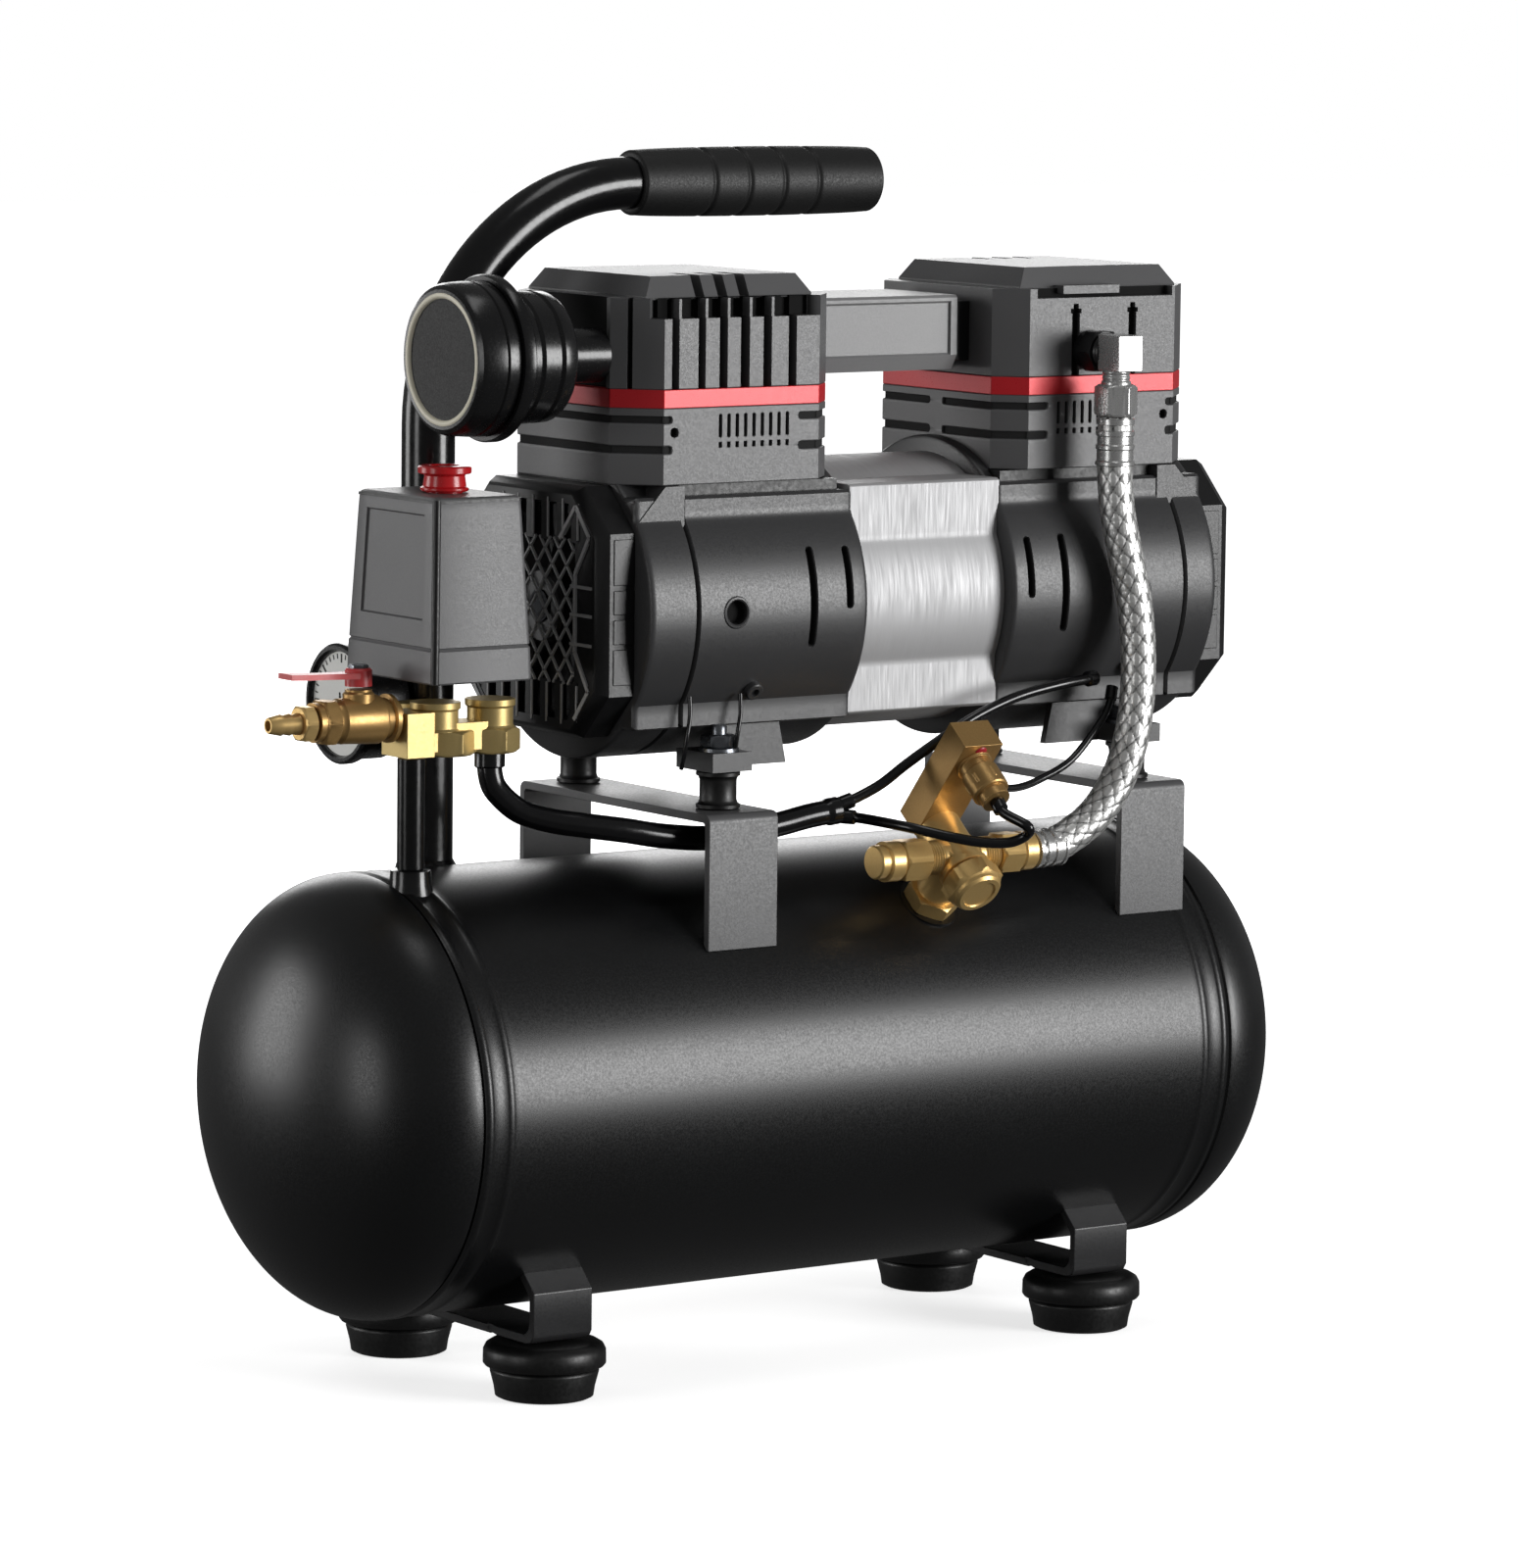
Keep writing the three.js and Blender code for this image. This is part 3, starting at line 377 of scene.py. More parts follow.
# ---------------------------------------------------------------------------------------------
# Handle: a bent steel tube in gloss black enamel, welded into the tank, with a ribbed grip of foamed
# rubber pushed over its level end.


def along_route(route, steps):
    """A smooth line through the route's points: on each span the Catmull-Rom cubic, whose slope at a
    point is half the step between its neighbours."""
    route = np.asarray(route, float)
    padded = np.concatenate([[2 * route[0] - route[1]], route, [2 * route[-1] - route[-2]]])
    t = (np.arange(steps) / steps)[None, :, None]
    a, b, c, d = (padded[k:len(padded) - 3 + k, None, :] for k in range(4))
    square, cube = (2 * a - 5 * b + 4 * c - d) * t ** 2, (3 * b - a - 3 * c + d) * t ** 3
    line = 0.5 * (2 * b + (c - a) * t + square + cube)
    return np.concatenate([line.reshape(-1, 3), route[-1:]])


def tube(line, radius, sides=32, flat=(0, 1, 0)):
    """A ring of points round each point of a line, square to it; radius is one number, or one for every
    ring, or one for every ring and side. The surface map holds mm along it and mm round it."""
    line = np.asarray(line, float)
    run = np.gradient(line, axis=0)
    run /= np.linalg.norm(run, axis=1)[:, None]
    across = np.cross(run, np.asarray(flat, float))
    across /= np.linalg.norm(across, axis=1)[:, None]
    other = np.cross(run, across)
    angle = np.arange(sides) * 2 * np.pi / sides
    radius = np.broadcast_to(np.asarray(radius, float).reshape(len(line) if np.ndim(radius) else 1, -1),
                             (len(line), sides))
    turn = np.cos(angle)[None, :, None] * across[:, None] + np.sin(angle)[None, :, None] * other[:, None]
    rings = line[:, None] + radius[:, :, None] * turn
    rings = np.concatenate([np.repeat(line[None, :1], sides, 1), rings,
                            np.repeat(line[None, -1:], sides, 1)])
    points, faces = grid(rings, closed=True)
    far = np.concatenate([[0], np.cumsum(np.linalg.norm(np.diff(line, axis=0), axis=1))])
    far = np.concatenate([far[:1], far, far[-1:]])
    i, j = np.meshgrid(np.arange(len(rings) - 1), np.arange(sides), indexing="ij")
    round_mm = 2 * np.pi * radius.max() / sides
    marks = np.stack([np.stack([far[i], j * round_mm], -1), np.stack([far[i], (j + 1) * round_mm], -1),
                      np.stack([far[i + 1], (j + 1) * round_mm], -1),
                      np.stack([far[i + 1], j * round_mm], -1)], 2)
    return points, faces, marks.reshape(-1, 2)


# Gloss enamel on a drawn tube: smoother than on the tank, so its highlights are sharper.
tube_enamel = coated("gloss_black_tube_enamel", "#060607", "#0a0a0b", 0.2, 2.0, 0.001)
low, high = box_mm("handle_tube")
handle_r = (high[1] - low[1]) / 2
handle_x, handle_y, handle_z = low[0] + handle_r, low[1] + handle_r, high[2] - handle_r
grip_low, grip_high = box_mm("handle_grip")
bend = 85.0
arc = np.linspace(0, np.pi / 2, 25)
tank_top = TANK_Z + math.sqrt(TANK_R ** 2 - handle_y ** 2)
upright_line = [(handle_x, handle_y, z) for z in np.linspace(tank_top - 4, handle_z - bend - 4, 8)]
bend_line = [(handle_x + bend * (1 - math.cos(a)), handle_y,
              handle_z - bend * (1 - math.sin(a))) for a in arc]
level_line = [(x, handle_y, handle_z) for x in np.linspace(handle_x + bend + 4, high[0], 6)]
weld = [(tank_top - 5, 0), (tank_top - 5, handle_r + 2.5), (tank_top + 1, handle_r + 1.2),
        (tank_top + 3, handle_r), (tank_top + 3, 0)]
piece("handle_tube_bent", [tube(upright_line + bend_line + level_line, handle_r, 48),
                           turned(weld, (handle_x, handle_y, 0))], "frame", tube_enamel,
      ["handle_tube"])

# Foamed rubber: soft dark grey with a fine open grain about 0.6 mm across.
foam = coated("foamed_rubber", "#0f0f0f", "#0a0a0a", 0.55, 0.6, 0.03)
grip_r = (grip_high[2] - grip_low[2]) / 2
length = grip_high[0] - grip_low[0]
run = np.linspace(0, length, 240)
swell = grip_r - 1.4 + 1.4 * np.sin(np.pi * np.clip(run / length, 0.02, 0.98)) ** 0.35
for groove in (30.0, 45.5, 61.0, 76.5):
    swell = swell - 0.75 * np.exp(-((run - groove) / 0.9) ** 2)
from_start, from_end = np.clip(run, 0, 2.4), np.clip(length - run, 0, 3.4)
swell = np.minimum(swell, grip_r - 2.4 + np.sqrt(from_start * (4.8 - from_start)))
swell = np.minimum(swell, grip_r - 3.4 + np.sqrt(from_end * (6.8 - from_end)))
piece("handle_grip_ribbed", [turned([(0, 0)] + list(zip(run, swell)) + [(length, 0)],
                                    (grip_low[0], handle_y, handle_z), ALONG_X, 72)], "frame", foam,
      ["handle_grip"], sharp=60)

# ---------------------------------------------------------------------------------------------
# Motor band: the bare aluminium stator housing between the two crankcases, an extrusion with flat
# facets above and below a round middle, brushed round its girth.
low, high = box_mm("motor_stator")
PUMP_X, PUMP_Z = (low[0] + high[0]) / 2, (low[2] + high[2]) / 2
# Aluminium brushed round its girth: pale, with a wide soft highlight and fine lines round it.
band_aluminium = coated("brushed_aluminium", "#bababb", "#b2b2b3", 0.54, 0.9, 0.0004, (1, 0.06, 0.06),
                        metallic=0.35)


def round_or_flat(radius, half, above, below, points=144):
    """A section round the shaft: at each turn the larger of a circle and of the rectangle round it."""
    angle = np.arange(points) * 2 * np.pi / points
    limit = np.where(np.sin(angle) > 0, above, below)
    flat = np.minimum(half / np.maximum(abs(np.cos(angle)), 1e-6),
                      limit / np.maximum(abs(np.sin(angle)), 1e-6))
    r = np.maximum(radius, flat)
    return np.stack([r * np.cos(angle), PUMP_Z + r * np.sin(angle)], 1)


section = round_or_flat(high[1] - 0.2, 44.5, 43, 41, 240)
rows = [np.insert(section, 0, x, axis=1) for x in (low[0] - 1.5, low[0] + 2, high[0] - 2, high[0] + 1.5)]
piece("motor_band", [skin(rows)], "frame", band_aluminium, ["motor_stator"], sharp=24,
      bevel=0.4)

# ---------------------------------------------------------------------------------------------
# Crankcases: two die-cast housings bolted over the ends of the motor, in satin black enamel. Each
# has a joint groove near its outer end, breather slots, a ringed screw hole and a shoulder.


def relief(point, columns, rows, marks, wrap=None, edge=0.3):
    """A wall on a grid whose lines crowd round each mark, a rounded rectangle (across, up, half width, half
    height, corner, depth). The wall is pushed in by the depth where the distance to the mark's outline is
    below zero, and the surface map holds how far it is pushed. Point gives place and inward way."""
    lines = []
    for axis, base in ((0, columns), (1, rows)):
        found = [np.asarray(base, float)]
        for mark in marks:
            centre, half, corner = mark[axis], mark[2 + axis], mark[4]
            fine = np.linspace(-edge, corner, max(3, int(corner / 0.4) + 3))
            near = np.concatenate([half - fine, fine - half, [0.0]])
            found.append(centre + near[abs(near) <= half + edge])
        found = np.unique(np.round(np.concatenate(found), 3))
        if axis == 0 and wrap:
            found = np.unique(np.round(found % wrap, 3))
        else:
            found = found[(found >= base[0]) & (found <= base[-1])]
        lines.append(found)
    across, up = np.meshgrid(*lines)
    pushed = np.zeros_like(across)
    for centre, height, half, half_height, corner, depth in marks:
        gap = across - centre
        if wrap:
            gap = (gap + wrap / 2) % wrap - wrap / 2
        a, b = abs(gap) - half + corner, abs(up - height) - half_height + corner
        outside = np.hypot(np.maximum(a, 0), np.maximum(b, 0)) + np.minimum(np.maximum(a, b), 0) - corner
        pushed = np.maximum(pushed, depth * np.clip(-outside / edge, 0, 1))
    place, inward = point(across, up)
    points, faces = grid(place + pushed[..., None] * inward, closed=bool(wrap))
    # How far each point is pushed in, which the slot-shaded finishes turn into painted shade.
    share = np.clip(pushed / 1.5, 0, 1).ravel()
    marks = np.stack([share[np.asarray(faces)], np.zeros((len(faces), 4))], -1).reshape(-1, 2)
    count, total = across.shape[1], across.size
    caps = [list(range(count)), list(range(total - count, total))] if wrap else []
    return points, faces + caps, np.concatenate([marks, np.zeros((2 * count if wrap else 0, 2))])


def slot_shaded(name, colour, shade, roughness, grain, bump, slot_shade="#050505"):
    """The coated finish above, with painted shade: its colour runs to dark and its surface to matt where the
    surface map says a slot is deep.
    """
    material = coated(name, colour, shade, roughness, grain, bump)
    tree = material.node_tree
    shader = next(node for node in tree.nodes if node.type == "BSDF_PRINCIPLED")
    tint = shader.inputs["Base Color"].links[0].from_socket
    deep = add(tree, "ShaderNodeSeparateXYZ", {0: add(tree, "ShaderNodeUVMap", uv_map="surface").outputs[0]})
    share = add(tree, "ShaderNodeMapRange", {0: deep.outputs[0], 1: 0.15, 2: 0.8}).outputs[0]
    both = add(tree, "ShaderNodeMix", {0: share, 6: tint, 7: srgb(slot_shade)}, data_type="RGBA").outputs[2]
    tree.links.new(both, shader.inputs["Base Color"])
    rough = shader.inputs["Roughness"].links[0].from_socket
    matt = add(tree, "ShaderNodeMix", {0: share, 2: rough, 3: 0.95}).outputs[0]
    tree.links.new(matt, shader.inputs["Roughness"])
    return material


# Satin enamel on a die casting: soft black, with painted shade deep in its slots, near black and matt.
case_enamel = slot_shaded("satin_black_case_enamel_slot_shade", "#373738", "#323233", 0.37, 0.8, 0.0015)
CASE_R = box_mm("crankcase_left")[1][1] - 0.2
for side, name in ((-1, "left"), (1, "right")):
    low, high = box_mm(f"crankcase_{name}")
    inner, outer = (high[0] - PUMP_X, low[0] - PUMP_X) if side < 0 else (low[0] - PUMP_X, high[0] - PUMP_X)
    inner, outer = abs(inner), abs(outer)
    section = round_or_flat(CASE_R, 44.8, 41.2, 41.8, 720)
    trail = np.concatenate([[0], np.cumsum(np.linalg.norm(np.diff(section, axis=0, append=section[:1]),
                                                          axis=1))])
    around = trail[-1]
    front = trail[360]

    def case_point(across, up, side=side, section=section, trail=trail):
        """Place and inward way at so many mm round the section and out along the shaft."""
        closed = np.concatenate([section, section[:1]])
        y = np.interp(across % trail[-1], trail, closed[:, 0])
        z = np.interp(across % trail[-1], trail, closed[:, 1])
        away = np.stack([np.zeros_like(y), -y, PUMP_Z - z], -1)
        ends = np.minimum(np.clip(up - inner, 0, 2), np.clip(outer - up, 0, 2.5)) / 2.0
        shrink = 1.6 * (1 - np.sqrt(np.clip(1 - (1 - np.clip(ends, 0, 1)) ** 2, 0, 1)))
        away /= np.linalg.norm(away, axis=-1, keepdims=True)
        return np.stack([PUMP_X + side * up, y, z], -1) + shrink[..., None] * away, away

    # Marks: the joint groove round it, then on each flank a long slot, a short slot and a screw hole.
    turn_mm = CASE_R * np.pi / 180
    marks = [(front, 107.5 if side < 0 else 113.0, around, 1.1, 0.0, 1.3)]
    for flip in (1, -1):
        centre = front if flip > 0 else 0.0
        marks += [(centre - flip * 4.3 * turn_mm, 57.0, 18.9 * turn_mm, 1.45, 1.4, 2.6),
                  (centre - flip * 11.0 * turn_mm, 41.2, 11.8 * turn_mm, 1.45, 1.4, 2.6),
                  (centre, 91.0, 4.5, 4.5, 4.4, 3.4)]
    base_rows = np.concatenate([inner + np.array([0, 0.4, 1, 2, 6]), np.linspace(inner + 10, outer - 8, 14),
                                outer - np.array([4, 2.5, 1.4, 0.6, 0])])
    wall = relief(case_point, np.linspace(0, around, 181)[:-1], base_rows, marks, wrap=around)
    parts = [wall]
    neck_low, neck_high = PUMP_X + side * 37.0, PUMP_X + side * 107.0
    # A black rubber block in the neck, seen in the gap between cylinder block and crankcase: painted shade
    # for the shadow line there.
    piece(f"block_gap_shade_{name}", [brick((neck_low, -40.6, 312), (neck_high, 40.6, high[2]))], "frame",
          rubber)
    shoulder = [(107.0, 322.0), (115.2, 322.0), (127.6, 308.5), (127.6, 300), (107.0, 300)]
    shoulder = [(PUMP_X + side * d, z) for d, z in shoulder]
    parts.append(slab(shoulder, -45.3, 45.3, "y"))
    for y in (-1, 1):
        ring = turned([(-3, 4.3), (-3, 5.9), (0.4, 5.9), (1.0, 5.5), (1.1, 4.9), (0.8, 4.4), (-3, 4.3)],
                      (PUMP_X + side * 91.0, y * (CASE_R - 0.6), PUMP_Z), (0, y, 0), 48)
        boss = turned([(-6, 0), (-6, 3.4), (2.2, 3.4), (2.6, 3.0), (2.6, 1.6), (1.0, 1.4), (1.0, 0)],
                      (PUMP_X + side * (78.6 if side < 0 else 92.0), y * CASE_R * math.cos(math.radians(31)),
                       PUMP_Z - CASE_R * math.sin(math.radians(31))), (0, y * 0.86, -0.51), 32)
        parts += [ring, boss]
        bracket_x = (box_mm(f"pump_bracket_{name}")[0][0] + box_mm(f"pump_bracket_{name}")[1][0]) / 2
        tab = [(bracket_x - 8.6, 219.6), (bracket_x + 8.6, 219.6), (bracket_x + 8.6, 226.4),
               (bracket_x - 8.6, 226.4)]
        parts.append(slab(tab, y * 31, y * 54, "y"))
        plate = [(bracket_x + 3, 219.6), (bracket_x - side * 34, 219.6), (bracket_x - side * 30, 238),
                 (bracket_x + 3, 238)]
        parts.append(slab(plate, y * 36, y * 39, "y"))
    piece(f"crankcase_cast_{name}", parts, "frame", case_enamel, [f"crankcase_{name}"],
          sharp=28)
    bolts = []
    for y in (-1, 1):
        x, at = bracket_x, y * 45.0
        bolts += [turned([(226.4, 0), (226.4, 7.6), (227.6, 7.4), (227.6, 0)], (x, at, 0)),
                  nut(6.6, 227.6, 232.4, (x, at, 0), UPWARDS),
                  turned([(232.0, 0), (232.0, 3.0), (235.2, 3.0), (236.0, 2.4), (236.0, 0)], (x, at, 0),
                         sides=32)]
    piece(f"isolator_bolts_{name}", bolts, "frame", bolt_steel, sharp=40)

# ---------------------------------------------------------------------------------------------
# Cylinder blocks: die-cast aluminium in satin grey enamel, eight-sided in plan. Two grooves wrap
# their corners, and a grille of nine slots over nine square holes is cut in the long faces.


def block_corners():
    """Corners of the plan, from the middle of the front face outwards: distance from the motor, and Y."""
    low, high = box_mm("cylinder_right")
    near, far, half = low[0] - PUMP_X, high[0] - PUMP_X, high[1]
    corners = [(near + 10, -half), (far - 14, -half), (far, 14 - half), (far, half - 14), (far - 14, half),
               (near + 10, half), (near, half - 10), (near, 10 - half)]
    middle = ((corners[0][0] + corners[1][0]) / 2, -half)
    return np.array([middle] + corners[1:] + corners[:1] + [middle])


def plan_point(side, corners, lip, low, high):
    """A function that gives the place and the inward way so many mm round a plan, and up."""
    run = np.linalg.norm(np.diff(corners, axis=0), axis=1)
    trail = np.concatenate([[0], np.cumsum(run)])

    def point(across, up):
        """The way inwards is square to the plan's chord over 0.2 mm; the rim leans in over the lip."""
        at = [np.interp(across % trail[-1], trail, corners[:, k]) for k in (0, 1)]
        ahead = [np.interp((across + 0.1) % trail[-1], trail, corners[:, k]) for k in (0, 1)]
        back = [np.interp((across - 0.1) % trail[-1], trail, corners[:, k]) for k in (0, 1)]
        way = np.stack([-side * (ahead[1] - back[1]), ahead[0] - back[0], np.zeros_like(at[0])], -1)
        way /= np.linalg.norm(way, axis=-1, keepdims=True)
        rim = np.clip(lip - np.minimum(up - low, high - up), 0, lip)
        return np.stack([PUMP_X + side * at[0], at[1], up], -1) + rim[..., None] * way, way
    return point, trail


# The same enamel in mid grey, with painted shade, near black, at the bottom of each slot and cut.
block_enamel = slot_shaded("satin_grey_block_enamel_slot_shade", "#606061", "#5a5a5b", 0.4, 0.7, 0.006)
corners = block_corners()
corner_cuts = np.cumsum(np.linalg.norm(np.diff(corners, axis=0), axis=1))
for side, name in ((-1, "left"), (1, "right")):
    low, high = box_mm(f"cylinder_{name}")
    point, trail = plan_point(side, corners, 0.35, low[2], high[2])
    whole = trail[-1]
    rear = corner_cuts[3] + (corner_cuts[4] - corner_cuts[3]) / 2
    # Marks: nine slots over nine square holes, a screw hole, and two grooves round each corner.
    marks = []
    for flip, start in ((1, 0.0), (-1, rear)):
        for k in range(9):
            x = start + flip * (9.3 - 3.65 * k)
            marks += [(x, 342.9, 0.75, 4.2, 0.7, 2.6), (x, 336.1, 0.75, 1.1, 0.5, 2.6)]
        marks.append((start + flip * 29.2, 341.0, 1.75, 1.75, 1.7, 2.6))
        for z, tall in ((345.6, 1.45), (334.9, 1.55)):
            outer_end = corner_cuts[1] + 32
            marks.append((start + flip * (30.0 + outer_end) / 2, z, (outer_end - 30.0) / 2, tall, 1.4, 1.1))
            marks.append((start - flip * (24.7 + 78.0) / 2, z, (78.0 - 24.7) / 2, tall, 1.4, 1.1))
    base = np.unique(np.concatenate([np.linspace(0, whole, 61)[:-1], corner_cuts[:-1]] +
                                    [corner_cuts[:-1] + d for d in (-0.15, 0.15)]))
    rows = np.array([0, 0.35, 2, 6, 10, 14, 18, 22, high[2] - low[2] - 0.35, high[2] - low[2]]) + low[2]
    piece(f"cylinder_block_{name}", [relief(point, base, rows, marks, wrap=whole)], "frame",
          block_enamel, [f"cylinder_{name}"], sharp=28)

# ---------------------------------------------------------------------------------------------
# Valve plates: a red anodised plate clamped between each block and its head, cut to their plan, with
# its machined edges just broken.
red_plate = coated("red_anodised_aluminium", "#d3232c", "#c01c26", 0.32, 0.5, 0.003, metallic=0.15)
for side, name in ((-1, "left"), (1, "right")):
    low, high = box_mm(f"valve_plate_{name}")
    plan = np.stack([PUMP_X + side * corners[1:-1, 0], corners[1:-1, 1]], 1)
    piece(f"valve_plate_red_{name}", [slab(plan, low[2] - 0.3, high[2] + 0.3)], "frame",
          red_plate, [f"valve_plate_{name}"], sharp=20, bevel=0.3)

# ---------------------------------------------------------------------------------------------
# Heads: the same die casting twice, turned half round, so that its finned face looks forwards on the
# left and backwards on the right. Its other long face is plain, with two slots, and a cap lies on top.
# Satin grey enamel, a shade darker than on the blocks.
# Painted shade, near black, fills its slots, the gap under the cap and the sunk panel.
head_enamel = slot_shaded("satin_grey_head_enamel_slot_shade", "#5c5c5d", "#565657", 0.4, 0.7, 0.006, "#030303")
for side, name in ((-1, "left"), (1, "right")):
    low, high = box_mm(f"head_{name}")
    brim = low[2] + 32.7
    point, trail = plan_point(side, corners, 0.4, low[2], brim)
    whole = trail[-1]
    rear = corner_cuts[3] + (corner_cuts[4] - corner_cuts[3]) / 2
    fins, plain = ((0.0, 1), (rear, -1)) if side < 0 else ((rear, -1), (0.0, 1))
    # Marks: six deep slots between the fins, a thin one round the corner, the gap under the cap, and a
    # sunk panel in the outer end.
    marks = []
    start, flip = fins
    for middle, half in ((29.0, 1.6), (17.6, 1.6), (8.25, 1.8), (-1.15, 2.0), (-10.9, 1.85), (-21.9, 1.8)):
        marks.append((start + flip * middle, 372, half, 17.5, 0.3, 7.0))
    marks.append((start + flip * 46.4, 372, 1.0, 20, 0.3, 4.5))
    marks.append((start + flip * 2.2, 388, 37.0, 6.6, 0.3, 5.0))
    marks.append((corner_cuts[2] - (corner_cuts[2] - corner_cuts[1]) / 2, 373.5, 27.5, 18.5, 0.5, 4.0))
    # On the plain face: two slots with a pointed end, and the gap under the cap's lip.
    start, flip = plain
    for middle in (-12.5, 13.9):
        marks += [(start + flip * middle, 366, 1.75, 13.8, 0.2, 3.0),
                  (start + flip * middle, 380.2, 2.5, 0.9, 0.6, 3.0),
                  (start + flip * middle, 381.8, 1.2, 1.1, 0.8, 3.0)]
    marks.append((start + flip * 1.0, 389, 31.5, 3.9, 0.3, 4.0))
    base = np.unique(np.concatenate([np.linspace(0, whole, 41)[:-1], corner_cuts[:-1]] +
                                    [corner_cuts[:-1] + d for d in (-0.15, 0.15)]))
    rows = np.array([0, 0.4, 4, 10, 16, 22, 27, 30, brim - low[2] - 0.4, brim - low[2]]) + low[2]
    parts = [relief(point, base, rows, marks, wrap=whole)]
    middle = PUMP_X + side * 83.3
    front = -1 if side < 0 else 1
    spans = [(-36.0, 0.3, 0), (-31.5, 7.2, 0), (-14.6, 7.3, 0), (-14.4, 7.3, 1), (-10.8, 7.3, 1),
             (-10.6, 7.3, 0), (-4.8, 7.3, 0), (-4.6, 7.3, 1), (-0.8, 7.3, 1), (-0.6, 7.3, 0), (4.6, 7.3, 0),
             (4.8, 7.3, 1), (8.6, 7.3, 1), (8.8, 7.3, 0), (31.5, 7.2, 0), (36.0, 0.3, 0)]
    rings = []
    for along, rise, cut in spans:
        x = middle + along * (1 if side < 0 else -1)
        edge, top = (22.0, 20.0) if cut else (38.0, 38.0 - rise * 0.55)
        rings.append([(x, front * edge, brim - 1.0), (x, front * top, brim + rise),
                      (x, -front * (38.0 - rise * 0.55),
                      brim + rise), (x, -front * 38.0, brim - 1.0)])
    piece(f"head_cap_{name}", [skin(rings)], "frame", head_enamel, sharp=26)
    for span in (27.4, 16.0, 6.4, -3.2, -12.8):
        x = PUMP_X + side * (81.3 + span - 0.5)
        parts.append(brick((x - 0.55, front * 36, 381.0), (x + 0.55, front * 43.4, brim - 0.6)))
    x = PUMP_X + side * 76.0
    parts.append(brick((x - 13, -front * 37, brim - 2.4), (x + 13, -front * 43.5, brim + 0.6)))
    piece(f"head_cast_{name}", parts, "frame", head_enamel, [f"head_{name}"], sharp=26)

# ---------------------------------------------------------------------------------------------
# Crossover: a cast channel that carries air from one head to the other, with a rimmed plain panel
# on each side, a bevelled foot, and a short black gasket collar at each end.
low, high = box_mm("crossover")
# Moulded glass-filled nylon: black with a low sheen.
black_plastic = coated("moulded_black_nylon", "#0d0d0e", "#161617", 0.36, 0.7, 0.008)
half = high[1]
body = [(-half, low[2] + 4), (-half, high[2] - 1), (1 - half, high[2]), (half - 1, high[2]),
        (half, high[2] - 1), (half, low[2] + 4), (half - 3, low[2]), (3 - half, low[2])]
rings = []
for x, inset in ((low[0] + 1.2, 0), (low[0] + 4.2, 0), (low[0] + 4.6, 1.1), (high[0] - 10.6, 1.1),
                 (high[0] - 10.2, 0), (high[0] - 7.4, 0)):
    front = [(-half, low[2] + 5.5), (inset - half, low[2] + 6.2), (inset - half, high[2] - 3),
             (-half, high[2] - 2.2), (-half, high[2] - 1), (1 - half, high[2])]
    outline = [(3 - half, low[2])] + front + [(-y, z) for y, z in front[::-1]] + [(half - 3, low[2])]
    rings.append(np.insert(np.array(outline), 0, x, axis=1))
# Satin enamel again, painted paler on the smooth channel as painted light, to offset the shade that the
# right head casts on it.
crossover_enamel = coated("satin_grey_enamel_painted_lighter", "#868686", "#7e7e7f", 0.42, 0.7, 0.005)
piece("crossover_channel", [skin(rings)], "frame", crossover_enamel, ["crossover"],
      sharp=26)
piece("crossover_gasket", [brick((high[0] - 7.6, -half + 2.5, low[2] + 3),
                                 (high[0] + 0.2, half - 2.5, high[2] - 2.5)),
                           brick((low[0] - 0.2, -half + 2, low[2] + 2),
                                 (low[0] + 1.4, half - 2, high[2] - 2))], "frame",
      black_plastic, sharp=26, bevel=0.4)

# ---------------------------------------------------------------------------------------------
# Fan covers: black moulded nylon, eight-sided, with a fine diamond mesh over the fan between rows of
# round-ended bars, and a moulded rib in a zigzag down each edge of the mesh. The mesh, the rib, the short
# cross bars and a thin strip
# on one edge of each bar are pale grey: painted highlights on the black nylon.
# Pale grey for the mesh, ribs and edge strips: painted highlights on black nylon.
highlight_grey = coated("pale_highlight_nylon", "#c4c4c4", "#a8a8a8", 0.4, 0.6, 0.004)


def bar(start, end, wide, tall, x, out):
    """A straight bar between two points of the cover's face, so wide and tall, standing out from x."""
    start, end = np.array(start, float), np.array(end, float)
    way = (end - start) / np.linalg.norm(end - start)
    across = np.array([-way[1], way[0]]) * wide / 2
    outline = [start + across, start - across, end - across, end + across]
    return slab(outline, min(x, x + out * tall), max(x, x + out * tall), "x")


